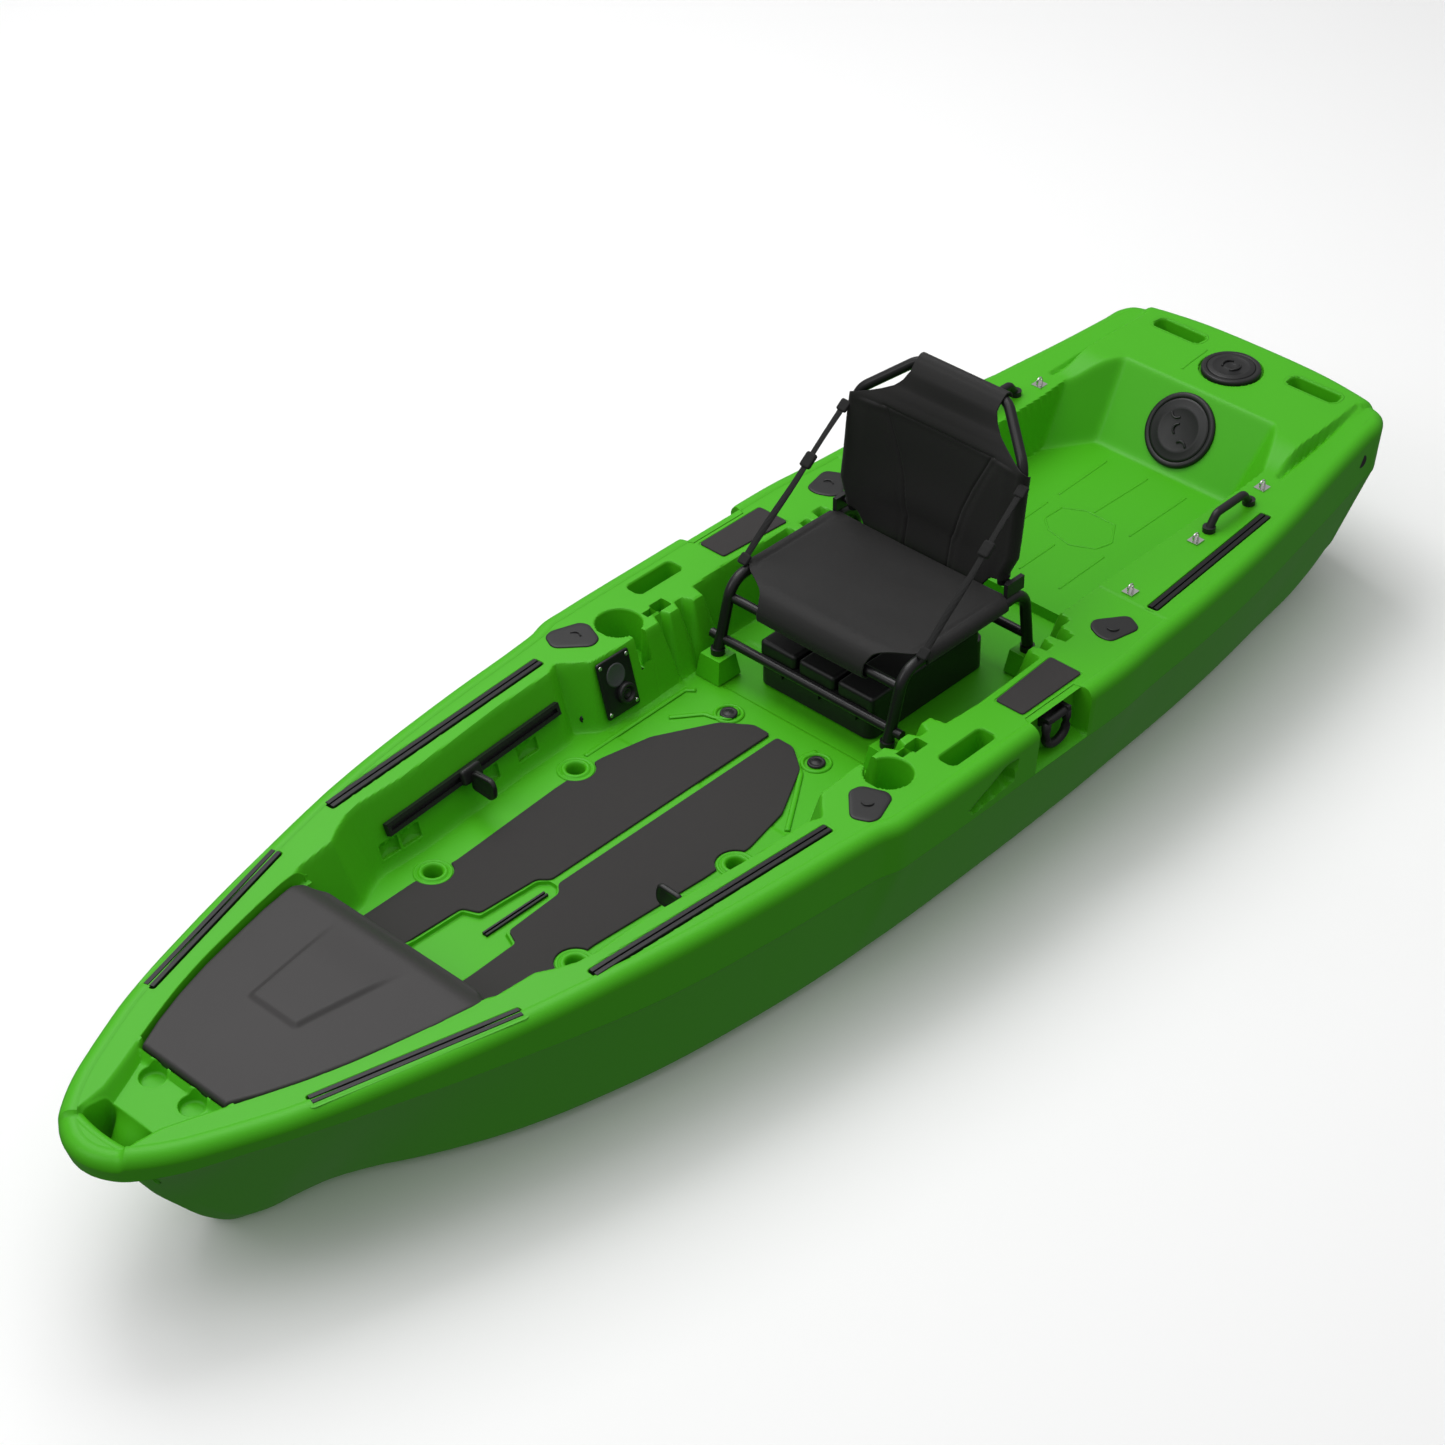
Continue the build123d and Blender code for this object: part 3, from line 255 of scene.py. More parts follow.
def grid_quads(rows, cols, wrap_cols=False):
    """Corner numbers of the quads of a grid of rows by cols points."""
    i, j = np.meshgrid(np.arange(rows - 1), np.arange(cols if wrap_cols else cols - 1),
                       indexing="ij")
    j2 = (j + 1) % cols
    return np.stack([i * cols + j, (i + 1) * cols + j, (i + 1) * cols + j2, i * cols + j2],
                    -1).reshape(-1, 4)


def surface(name, points, wrap_cols=False, flip=False):
    """Piece from a grid of points, with doubled points merged."""
    quads = grid_quads(*points.shape[:2], wrap_cols)
    if flip:
        quads = quads[:, ::-1]
    obj = build_mesh(name, points.reshape(-1, 3), quads)
    bm = bmesh.new()
    bm.from_mesh(obj.data)
    bmesh.ops.remove_doubles(bm, verts=bm.verts, dist=1e-5)
    bmesh.ops.dissolve_degenerate(bm, edges=bm.edges, dist=1e-6)
    bm.to_mesh(obj.data)
    bm.free()
    obj.data.shade_smooth()
    return obj


def outwards(obj):
    """Turn the faces of a closed piece outwards."""
    bm = bmesh.new()
    bm.from_mesh(obj.data)
    bmesh.ops.remove_doubles(bm, verts=bm.verts, dist=1e-5)
    bmesh.ops.recalc_face_normals(bm, faces=bm.faces)
    bm.to_mesh(obj.data)
    bm.free()
    obj.data.shade_smooth()
    return obj


def join(name, objects):
    """One piece from several."""
    bm = bmesh.new()
    for obj in objects:
        bm.from_mesh(obj.data)
    mesh = bpy.data.meshes.new(name)
    bm.to_mesh(mesh)
    bm.free()
    for obj in objects:
        old = obj.data
        bpy.data.objects.remove(obj)
        bpy.data.meshes.remove(old)
    mesh.shade_smooth()
    obj = bpy.data.objects.new(name, mesh)
    bpy.context.scene.collection.objects.link(obj)
    return obj


def place(points, origin, x_axis, z_axis):
    """Local points carried to a place whose x and z axes are given."""
    z_axis = np.asarray(z_axis, float) / np.linalg.norm(z_axis)
    x_axis = np.asarray(x_axis, float)
    x_axis = x_axis - z_axis * (x_axis @ z_axis)
    x_axis /= np.linalg.norm(x_axis)
    y_axis = np.cross(z_axis, x_axis)
    return (points[..., 0:1] * x_axis + points[..., 1:2] * y_axis + points[..., 2:3] * z_axis
            + np.asarray(origin, float))


def inwards(outline, closed=True):
    """Unit normals of an outline that point to its inside."""
    ahead = np.roll(outline, -1, axis=0)
    run = ahead - np.roll(outline, 1, axis=0) if closed else np.gradient(outline, axis=0)
    run /= np.linalg.norm(run, axis=1)[:, None]
    turn = -1 if np.sum(outline[:, 0] * ahead[:, 1] - outline[:, 1] * ahead[:, 0]) < 0 else 1
    return turn * np.stack([-run[:, 1], run[:, 0]], -1)


def at_height(xy, z):
    """Points of an outline at one height, or each at its own."""
    return np.column_stack([xy, np.broadcast_to(z, len(xy))])


def pillow(name, outline, profile, origin=(0, 0, 0), x_axis=(1, 0, 0), z_axis=(0, 0, 1)):
    """Plate with a shaped edge: the outline is carried inwards along its normals by the
    profile's first number and raised by its second, and closed at the middle."""
    inward = inwards(outline)
    rings = [at_height(outline + inward * step_in, z) for step_in, z in profile]
    last = rings[-1]
    middle = last.mean(0) * (1, 1, 0) + (0, 0, profile[-1][1])
    rings += [middle + (last - middle) * share for share in (0.75, 0.5, 0.25, 0.0)]
    points = place(np.stack(rings), origin, x_axis, z_axis)
    return outwards(surface(name, points, wrap_cols=True))


def lathe(name, profile, origin, z_axis=(0, 0, 1), x_axis=(1, 0, 0), count=64):
    """Turned piece: a profile of radius and height carried round a circle."""
    profile = np.asarray(profile, float)
    angle = np.linspace(0, 2 * math.pi, count, endpoint=False)
    rings = np.stack([profile[:, 0, None] * np.cos(angle), profile[:, 0, None] * np.sin(angle),
                      np.broadcast_to(profile[:, 1, None], (len(profile), count))], -1)
    return surface(name, place(rings, origin, x_axis, z_axis), wrap_cols=True)


def rounded_polygon(points, radius, steps=6):
    """Outline with its corners rounded by quadratic curves."""
    points = np.asarray(points, float)
    before = np.roll(points, 1, axis=0) - points
    after = np.roll(points, -1, axis=0) - points
    a = np.linalg.norm(before, axis=1)[:, None]
    b = np.linalg.norm(after, axis=1)[:, None]
    reach = np.minimum(radius, np.minimum(a, b) * 0.45)
    start, end = points + before / a * reach, points + after / b * reach
    u = np.linspace(0, 1, steps)[None, :, None]
    curve = (1 - u) ** 2 * start[:, None] + 2 * u * (1 - u) * points[:, None] + u**2 * end[:, None]
    return curve.reshape(-1, 2)


def rounded_box(half_x, half_y, radius):
    """Outline of a box round the origin with rounded corners."""
    return rounded_polygon([(-half_x, -half_y), (half_x, -half_y), (half_x, half_y),
                            (-half_x, half_y)], radius)


def box_mm(node):
    """Low corner, high corner and middle of a CAD node's box, in millimetres."""
    low, high = (np.array(corner) * 1000 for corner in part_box(node))
    return low, high, (low + high) / 2


def bar(name, path, radius, sides=16, flat=1.0):
    """Round or flattened bar along a path of points: a circle carried on frames that turn as
    little as possible, closed at both ends."""
    path = np.asarray(path, float)
    run = np.gradient(path, axis=0)
    run /= np.linalg.norm(run, axis=1)[:, None]
    side = np.cross(run, (0, 0, 1.0))
    weak = np.linalg.norm(side, axis=1) < 1e-3
    side[weak] = np.cross(run[weak], (0, 1.0, 0))
    side /= np.linalg.norm(side, axis=1)[:, None]
    up = np.cross(side, run)
    angle = np.linspace(0, 2 * math.pi, sides, endpoint=False)
    ring = (side[:, None] * np.cos(angle)[None, :, None]
            + up[:, None] * np.sin(angle)[None, :, None] * flat) * radius
    tube = path[:, None] + ring
    tube = np.concatenate([np.broadcast_to(path[:1, None], (1, sides, 3)), tube,
                           np.broadcast_to(path[-1:, None], (1, sides, 3))])
    return outwards(surface(name, tube, wrap_cols=True))


def dress(obj, material, body, slot, *nodes):
    """Give a piece its material and body, and hide the CAD nodes that it stands for. The slot is
    not used.
    """
    obj.data.materials.clear()
    obj.data.materials.append(bpy.data.materials[material])
    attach(obj, body)
    if nodes:
        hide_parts(*nodes)
    return obj


def hull_lines(count=1120):
    """The lines all round the boat, as a closed loop of rows."""
    half = spline(LINES, count // 2)
    other = half[1:-1][::-1].copy()
    other[:, (1, 4, 7)] *= -1
    return np.concatenate([half, other])


def half_width(x):
    """Half width of the boat at the gunwale, forward of the stern's corners."""
    curve = spline(LINES[6:], 1600)
    return np.interp(x, np.maximum.accumulate(curve[:, 0]), curve[:, 1])


def rim_height(x, y):
    """Height of the deck before anything is sunk into it."""
    z = np.interp(x, SHEER_X, SHEER_Z)
    rise = 25 * np.clip((-1215 - x) / 400, 0, 1)
    deck = (sizes().stern_deck * 1000 - 392 - rise) * ease((-1292 - x) / 112)
    handle = 8 * ease((68 - np.abs(y)) / 7) * ease((x - 1590) / 16)
    return z + rise + deck * ease((302 - np.abs(y)) / 14) - handle


def cover_half(x):
    """Half width of the bow cover."""
    return np.interp(x, (933, 938, 946, 960, 984, 1060, 1140, 1230, 1310, 1380, 1437),
                     (214, 224, 233, 240, 241, 229, 211, 189, 164, 137, 109))


def sunk(z, d, floor, draft, r_top=18.0, r_low=26.0):
    """Sink a drafted well into a surface: its wall falls at the draft inside the outline."""
    wall = z + d / np.tan(np.radians(draft))
    return low_blend(z, high_blend(wall, np.full_like(z, floor), r_low), r_top)


TRACK_LINES = [((1337, 212), (949, 320)), ((796, 345), (219, 380)), ((-741, 396), (-1164, 366))]
BOW_EDGE = [(1445, 115), (1380, 143), (1310, 170), (1230, 195), (1140, 217), (1060, 235),
            (984, 248), (930, 249), (930, -400), (1445, -400)]
DRAINS = ((690, 189), (288, 213))
FLOOR_PLUG = (-46, 117)
CUP = (19, 355)
CUP_RADIUS = 48
SLOT_REAR, SLOT_FRONT, SLOT_HALF, SLOT_CORNER = 1549, 1611, 62, 12    # bow handle's slot
DECK_PARTS = (-740, 915)    # where the stern's and the bow's mouldings meet the sides'
TANK_FRONT = -728
# Steep pockets cut into the deck's own grid: rear, front, inner and outer edge, corner, floor
STEEP = ((2, 36, 280, 330, 4, 300), (-100, -62, 322, 352, 5, 352), (-60, -34, 326, 344, 4, 340),
         (880, 1000, -218, 218, 4, 322))
# Hollows of the drive in the boat's bottom: rear, front, half width, height
HOLLOWS = ((-960, -489, 70.5, 78), (-490, -210, 96.5, 60))
SCOOP = [(-178, 358), (-215, 357), (-209, 304), (-94, 291), (-78, 308)]    # x, height


def slot_exit(x, a):
    """Rear end of the bow handle's slot where it leaves the hull, before the stem."""
    return np.maximum(x, np.interp(a, (0, 12, 26, 36, 42, 46, 60),
                                   (1588, 1587, 1584, 1579, 1570, 1552, SLOT_REAR)))


def evenly(outline, step):
    """The closed outline with its points a step apart."""
    closed = np.vstack([outline, outline[:1]])
    run = np.concatenate([[0], np.cumsum(np.hypot(*np.diff(closed, axis=0).T))])
    at = np.linspace(0, run[-1], int(run[-1] / step), endpoint=False)
    return np.stack([np.interp(at, run, closed[:, k]) for k in (0, 1)], -1)


def slot_outline(x0, y0, x1, y1, half, radius):
    """Outline of a slot between two points, with its corners rounded."""
    run = np.array([x1 - x0, y1 - y0], float)
    run /= np.linalg.norm(run)
    side = np.array([-run[1], run[0]]) * half
    a, b = np.array([x0, y0]), np.array([x1, y1])
    return rounded_polygon([a - side, b - side, b + side, a + side], radius, 8)


def ring_outline(x, y, radius, start=0.0, end=2 * math.pi, count=72):
    """Outline of a circle or of an arc."""
    angle = np.linspace(start, end, count, endpoint=end - start < 6.28)
    return np.stack([x + radius * np.cos(angle), y + radius * np.sin(angle)], -1)


def pockets():
    """Steep-sided pockets on the port side and in the middle: outline, floor, edge radius. A
    floor below 0 is counted from the deck."""
    yield slot_outline(-78, 412, -206, 412, 21, 14), 300.0, 5.0
    yield slot_outline(-1590, 118, -1590, 246, 20, 17), 372.0, 6.0
    yield rounded_polygon([(-476, 346), (-288, 356), (-288, 430), (-476, 430)], 8), 389.5, 1.5
    for (x0, y0), (x1, y1) in TRACK_LINES:
        lean = np.array([x1 - x0, y1 - y0]) / math.hypot(x1 - x0, y1 - y0) * 4
        yield slot_outline(x0 - lean[0], y0 - lean[1], x1 + lean[0], y1 + lean[1], 13.5, 7), -8, 2.0
    yield ring_outline(1462, 52, 25), 337.0, 3.0
    yield ring_outline(-1535, 0, 71), -6.0, 3.0
    half = [(559, 10), (576, 26), (716, 34), (730, 68), (839, 71), (930, 71)]
    yield rounded_polygon(half + [(x, -y) for x, y in half[::-1]], 5), 242.0, 1.2


def cockpit(x, a, z):
    """The foot well and the seat well sunk into the deck."""
    floor = sizes().foot_floor * 1000
    foot = sunk(z, edge_distance(x, a, FOOT_EDGE), floor, 15.6 + 4.9 * ease((x - 190) / 60),
                9, 18)
    return low_blend(foot, sunk(z, edge_distance(x, a, SEAT_EDGE), floor, 15.5, 12, 18), 6)


def tank_well(x, a, z):
    """The tank well sunk into the deck: floor, side walls, back wall and the angled walls
    between them."""
    floor = sizes().tank_floor * 1000
    side = floor + (a - 250) * 7.6
    back = floor + (-1302 - x) * 1.34
    angled = floor + ((x + 1200) * -0.543 + (a - 248) * 0.840) * 1.93
    hollow = high_blend(high_blend(high_blend(np.full_like(z, floor), side, 16), back, 14),
                        angled, 14)
    return low_blend(z, hollow, 10)


def bow_hollows(x, a, z):
    """The bow cover's pocket, the bow handle's recess and the dry well under the cover."""
    z = low_blend(z, np.maximum(np.full_like(z, 352.0),
                                z + (edge_distance(x, a, BOW_EDGE) + 2.5) * 3.2), 3)
    nose = [(1438, 118), (1500, 92), (1548, 74), (1612, 66), (1622, 50), (1624, -400),
            (1430, -400)]
    bed = np.interp(x, (1450, 1545), (352.0, 345.0))
    recess = low_blend(z, np.maximum(bed, z + edge_distance(x, a, nose) * 1.5), 8)
    z = np.where(x > 1400, recess, z)
    dry = [(1380, 92), (1180, 172), (1000, 214), (1000, -400), (1380, -400)]
    well = np.minimum(z, np.maximum(262, 352 + edge_distance(x, a, dry) * 3.0))
    return np.where((x > 960) & (x < 1420), well, z)


def deck_height(x, y):
    """Height of the deck: the rim with everything that is sunk into it."""
    a = np.abs(y)
    z = rim_height(x, y)
    # groove between the stern deck and its rails
    groove = np.abs(a - np.interp(x, (-1604, -1293), (290, 306)))
    z = z - 7 * ease(1 - groove / 9) * ease((-1286 - x) / 12) * ease((x + 1612) / 12)
    z = np.where(x > TANK_FRONT, cockpit(x, a, z), tank_well(x, a, z))
    # the floor under the seat is a little lower than the foot well's
    z = z - 3 * ease((-104 - x) / 8) * (z < 262) * (x > TANK_FRONT)
    z = bow_hollows(x, a, z)
    for *box, floor in STEEP:
        z = np.where(box_distance(x, a, *box) < -0.8, np.minimum(z, floor), z)
    return z


def snap_to_edges(x, y, step):
    """Points near the rim of a steep pocket are moved along the distance's slope: those outside
    onto the rim, those inside just past it, so that the wall between them is steep."""
    for *box, _ in STEEP:
        def distance(px, py):
            return box_distance(px, np.abs(py), *box)
        d = distance(x, y)
        gx = distance(x + 0.5, y) - distance(x - 0.5, y)
        gy = distance(x, y + 0.5) - distance(x, y - 0.5)
        move = np.where(np.abs(d) < step, d + np.where(d < 0, 1.0, 0.0), 0.0)
        x, y = x - move * gx, y - move * gy
    return x, y


def rim_outline(inset):
    """The gunwale's outline moved inwards."""
    line = hull_lines()[:, :2]
    return line + inwards(line) * inset


def deck_grid():
    """Points of the whole deck. Columns run with the gunwale near it and share the middle
    evenly, rows run across, and points beyond the rim are brought back onto it."""
    inset = sizes().rim_inset * 1000
    step = sizes().row_step * 1000
    x = np.concatenate([np.arange(1645.0, 44.0, -step), np.arange(44.0, -112.0, -step * 0.45),
                        np.arange(-112.0, -1650.0, -step)])
    nose = rim_outline(inset - 1.2)
    side = nose[(nose[:, 0] > -1520) & (nose[:, 1] >= 0)]
    order = np.argsort(side[:, 0])
    half = np.where(x > -1480, np.interp(x, side[order, 0], side[order, 1], right=0.0),
                    half_width(x) - inset + 1.2)
    band = np.minimum(196.0, half * 0.62)
    outer = np.linspace(0, 1, 56)
    inner = np.linspace(-1, 1, 64)[1:-1]
    left = half[:, None] - band[:, None] * outer[None, :]
    middle = (half - band)[:, None] * -inner[None, :]
    y = np.concatenate([left, middle, -left[:, ::-1]], axis=1)
    x = np.broadcast_to(x[:, None], y.shape).copy()
    # the stern's rows are brought back onto the rim's curve
    stern = nose[nose[:, 0] < -1480]
    order = np.argsort(stern[:, 1])
    limit = np.interp(y, stern[order, 1], stern[order, 0])
    corner = np.abs(y) > 290
    outside = x < limit
    x = np.where(outside & ~corner, limit, x)
    pull = outside & corner
    if pull.any():
        px, py = x[pull], y[pull]
        gap = (px[:, None] - nose[None, :, 0]) ** 2 + (py[:, None] - nose[None, :, 1]) ** 2
        x[pull], y[pull] = nose[gap.argmin(1)].T
    x, y = snap_to_edges(x, y, 2.6)
    return np.stack([x, y, deck_height(x, y)], -1)


def corner_normals(points, limit=0.82):
    """Normal of each quad's four corners: the mean of the quads round the corner that face
    nearly the same way as its own, so that pockets keep crisp edges."""
    one = points[1:, 1:] - points[:-1, :-1]
    two = points[1:, :-1] - points[:-1, 1:]
    face = np.cross(one, two)
    size = np.linalg.norm(face, axis=-1, keepdims=True)
    unit = face / np.maximum(size, 1e-9)
    unit = np.where(unit[..., 2:3] < 0, -unit, unit)
    weight = unit * np.minimum(size, 60.0)
    rows, cols = unit.shape[:2]
    pad = np.zeros((rows + 2, cols + 2, 3))
    pad[1:-1, 1:-1] = weight
    pad_unit = np.zeros_like(pad)
    pad_unit[1:-1, 1:-1] = unit
    corners = []
    for di, dj in ((0, 0), (1, 0), (1, 1), (0, 1)):
        total = np.zeros_like(unit)
        for i in (di - 1, di):
            for j in (dj - 1, dj):
                near = pad_unit[1 + i:1 + i + rows, 1 + j:1 + j + cols]
                alike = np.sum(near * unit, -1, keepdims=True) > limit
                total += np.where(alike, pad[1 + i:1 + i + rows, 1 + j:1 + j + cols], 0)
        length = np.linalg.norm(total, axis=-1, keepdims=True)
        corners.append(np.where(length > 1e-6, total / np.maximum(length, 1e-9), unit))
    return np.stack(corners, -2).reshape(-1, 4, 3)


def in_recess(points):
    """The side handles' recess: the rim and the side are pushed in to a flat wall."""
    x, a = points[..., 0], np.abs(points[..., 1])
    z = points[..., 2]
    share = ease((82 - np.abs(x + 360)) / 7) * ease((z - 280) / 12)
    pushed = np.minimum(a, 438.0)
    a = a + (pushed - a) * share
    points = points.copy()
    points[..., 1] = np.where(points[..., 1] < 0, -a, a)
    return points


def in_scoop(points):
    """The grip scoops under the carry slots: the side is pushed in inside their outline, with
    a soft edge."""
    x, a, z = points[..., 0], np.abs(points[..., 1]), points[..., 2]
    d = edge_distance(x, z, SCOOP)
    push = 28 * ease(-d / 6) * (a > 440)
    points = points.copy()
    points[..., 1] -= np.sign(points[..., 1]) * push
    return points


def rounded_rings(rings, radius, steps=5):
    """Rings between control rings, with each inner corner rounded by a quadratic curve."""
    out = [rings[0]]
    for before, at, after in zip(rings, rings[1:], rings[2:]):
        a, b = before - at, after - at
        la = np.linalg.norm(a, axis=1)[:, None] + 1e-6
        lb = np.linalg.norm(b, axis=1)[:, None] + 1e-6
        reach = np.minimum(radius, np.minimum(la, lb) * 0.45)
        start, end = at + a / la * reach, at + b / lb * reach
        out.append((out[-1] + start) / 2)
        for u in np.linspace(0, 1, steps):
            out.append((1 - u) ** 2 * start + 2 * u * (1 - u) * at + u * u * end)
    out.append((out[-1] + rings[-1]) / 2)
    out.append(rings[-1])
    return out


class KAYAK_OT_hull(bpy.types.Operator):
    """Hull skin: rim, side band, lower hull and bottom round the whole outline"""
    bl_idname = "kayak.hull"
    bl_label = "Hull skin"

    def execute(self, context):
        lines = hull_lines()
        line = lines[:, :2]
        inward = inwards(line)
        inset = sizes().rim_inset * 1000
        radius = sizes().rim_round * 1000
        knuckle = lines[:, 2]

        def ring(step_in, z):
            return at_height(line + inward * step_in, z)

        edge = line + inward * inset
        top = rim_height(edge[:, 0], edge[:, 1])
        rings = [ring(inset + 4, top - 1.2), ring(inset, top - 0.3), ring(inset - 1.5, top)]
        for angle in np.linspace(0, math.pi / 2, 9):
            rings.append(ring(radius * (1 - math.sin(angle)),
                              top - radius * (1 - math.cos(angle))))
        for share in np.linspace(0, 1, 26)[1:-1]:
            rings.append(ring(8 * share, (top - radius) * (1 - share) + knuckle * share))
        under = rounded_rings([rings[-1], ring(10, knuckle), lines[:, 3:6], lines[:, 6:9]], 6)
        for a, b in zip(under[1:], under[2:]):
            rings.append(a)
            if np.linalg.norm(a - b, axis=1).max() > 120:
                for u in np.arange(1, 7) / 7:
                    rings.append(a + (b - a) * u)
        rings.append(under[-1])
        low = lines[:, 6:9]
        # the bottom closes towards the middle, with rows at the edges of its hollows
        for value in (241, 231, 213, 205, 197, 189, 181, 171, 98, 95, 72, 69, 0):
            ring_y = np.sign(low[:, 1]) * np.minimum(np.abs(low[:, 1]), value)
            rings.append(np.column_stack([low[:, 0], ring_y, low[:, 2]]))
        points = in_scoop(in_recess(np.stack(rings, axis=0)))
        x, a = points[..., 0], np.abs(points[..., 1])
        bottom = points[..., 2] < 20
        for rear, front, half, height in HOLLOWS:
            points[..., 2][bottom & (x > rear) & (x < front) & (a < half)] = height
        quads = grid_quads(*points.shape[:2], True)
        flat = points.reshape(-1, 3)
        middle = flat[quads].mean(1)
        x, a, z = middle[:, 0], np.abs(middle[:, 1]), middle[:, 2]
        hole = ((x > slot_exit(SLOT_REAR, a) + 2 * (a < 44)) & (x < SLOT_FRONT)
                & (a < SLOT_HALF - 2) & (z < 340) & (z > 225))
        for hx, hy in DRAINS:
            hole |= (np.hypot(x - hx, a - hy) < 19) & (z < 10)
        obj = outwards(build_mesh("hull_skin", flat, quads[~hole]))
        obj.data.set_sharp_from_angle(angle=math.radians(32))
        dress(obj, "Green moulding", "root", "hull_plastic", "hull")
        return {"FINISHED"}


class KAYAK_OT_deck(bpy.types.Operator):
    """Deck skins: the whole top as one worked-out height, cut where the CAD mouldings part"""
    bl_idname = "kayak.deck"
    bl_label = "Deck skins"

    def execute(self, context):
        points = deck_grid()
        normals = corner_normals(points)
        quads = grid_quads(*points.shape[:2])
        flat = points.reshape(-1, 3)
        middle = flat[quads].mean(1)
        size = np.linalg.norm(np.cross(flat[quads[:, 2]] - flat[quads[:, 0]],
                                       flat[quads[:, 3]] - flat[quads[:, 1]]), axis=1)
        hole = size < 1e-3
        x, a = middle[:, 0], np.abs(middle[:, 1])
        for hx, hy in DRAINS:
            hole |= np.hypot(x - hx, a - hy) < 31
        hole |= box_distance(x, a, SLOT_REAR, SLOT_FRONT, -SLOT_HALF, SLOT_HALF, SLOT_CORNER) < 2.4
        for sign in (1, -1):
            for spot, along, up, out, (half_u, half_v) in wall_pockets(sign):
                rel = middle - spot
                hole |= ((np.abs(rel @ out) < 9) & (np.abs(rel @ along) < half_u + 1.5)
                         & (np.abs(rel @ up) < half_v + 1.5))
        hole |= np.hypot(x - CUP[0], a - CUP[1]) < CUP_RADIUS + 2
        rim = edge_distance(x, a, BOW_EDGE)
        hole |= (rim > -9) & (rim < 2.2) & (x > 944) & (x < 1430) & (a > 100)
        for outline, _, _ in pockets():
            low, high = outline.min(0) - 5, outline.max(0) + 5
            near = np.flatnonzero((x > low[0]) & (x < high[0]) & (a > low[1]) & (a < high[1]))
            hole[near] |= edge_distance(x[near], a[near], outline) < 2.2
        bow, stern = x > DECK_PARTS[1], x < DECK_PARTS[0]
        port = middle[:, 1] > 0
        for name, node, part in (
                ("bow_deck_skin", "deck_bow", bow), ("stern_deck_skin", "deck_stern", stern),
                ("port_deck_skin", "deck_side_port", ~bow & ~stern & port),
                ("starboard_deck_skin", "deck_side_starboard", ~bow & ~stern & ~port)):
            own = quads[part & ~hole]
            used, index = np.unique(own, return_inverse=True)
            obj = build_mesh(name, flat[used], index.reshape(-1, 4), normals[part & ~hole])
            dress(obj, "Green moulding", "root", "hull_plastic", node)
        return {"FINISHED"}


def wall_pockets(sign):
    """Recesses in the foot well's walls under the rails: middle, axes along, up and out of the
    wall, and half sizes."""
    edge = np.array(FOOT_EDGE[1:-4])[::-1]
    for x0, x1 in ((745, 700), (694, 646), (474, 420), (364, 310)):
        def wall(x, z):
            y = np.interp(x, edge[:, 0], edge[:, 1]) - (392 - z) * math.tan(math.radians(20.5))
            return np.array([x, y, z])
        middle = wall((x0 + x1) / 2, 286)
        along = wall(x0, 286) - wall(x1, 286)
        up = wall((x0 + x1) / 2, 300) - wall((x0 + x1) / 2, 272)
        half = np.linalg.norm(along) / 2, np.linalg.norm(up) / 2
        along, up = along / np.linalg.norm(along), up / np.linalg.norm(up)
        out = np.cross(along, up)
        turned = np.array([1, sign, 1])
        yield middle * turned, along * turned, up * turned, out * turned, half


def pocket(name, outline, floor, radius, closed=True):
    """Moulded pocket: a flange that lies on the deck, a rounded edge, a steep wall with a
    rounded foot, and a floor when the outline is closed. A floor below 0 is counted from the
    deck."""
    inward = inwards(outline, closed)
    top = deck_height(*(outline - inward * 1.5).T)
    base = top + floor if floor < 0 else np.full_like(top, floor)
    rings = []
    for step_in in (-7.0, -radius - 1.5, -radius):
        xy = outline + inward * step_in
        rings.append(at_height(xy, deck_height(*xy.T) + (0.1 if step_in < -6 else 0.3)))
    for angle in np.linspace(0, math.pi / 2, 7)[1:]:
        xy = outline + inward * radius * (math.sin(angle) - 1)
        rings.append(at_height(xy, top + 0.3 - radius * (1 - math.cos(angle))))
    foot = np.minimum(5.0, (top - base) / 3)
    for angle in np.linspace(0, math.pi / 2, 5):
        xy = outline + inward * (1.0 + foot * (1 - math.cos(angle)))[:, None]
        rings.append(at_height(xy, base + foot * (1 - math.sin(angle))))
    if not closed:
        rings.append(rings[-1] + at_height(inward * 6, 0))
    wall = surface(name, np.stack(rings), wrap_cols=closed)
    return join(name, [wall, flat_fill("floor", rings[-1])]) if closed else wall


def even_shares(count):
    """Even shares from -1 to 1."""
    return np.linspace(-1, 1, count)


def polyline_at(path, t):
    """Points and forward normals of a rounded path in X and Z at shares t of its length."""
    fine = spline(path, 400)
    run = np.gradient(fine, axis=0)
    length = np.concatenate([[0], np.cumsum(np.hypot(*np.diff(fine, axis=0).T))])
    at = np.asarray(t) * length[-1]
    spot = np.stack([np.interp(at, length, fine[:, k]) for k in (0, 1)], -1)
    run = np.stack([np.interp(at, length, run[:, k]) for k in (0, 1)], -1)
    run /= np.linalg.norm(run, axis=1)[:, None]
    return spot, np.stack([run[:, 1], -run[:, 0]], -1)


def wrap_across(v, half, reach, radius):
    """Across a sling: v from -1 to 1 becomes a sideways place and a drop. Past the tubes'
    centre lines the cloth follows their round, by the angle that is left of its reach."""
    s = np.abs(v) * reach
    flat = np.minimum(s, half)
    angle = np.maximum(s - half, 0) / radius
    return np.sign(v) * (flat + radius * np.sin(angle)), radius * (1 - np.cos(angle))


def cloth_finish(obj, thick):
    """Give a sheet its thickness, inwards."""
    solid = obj.modifiers.new("thickness", "SOLIDIFY")
    solid.thickness = thick / 1000
    solid.offset = -1
    return obj


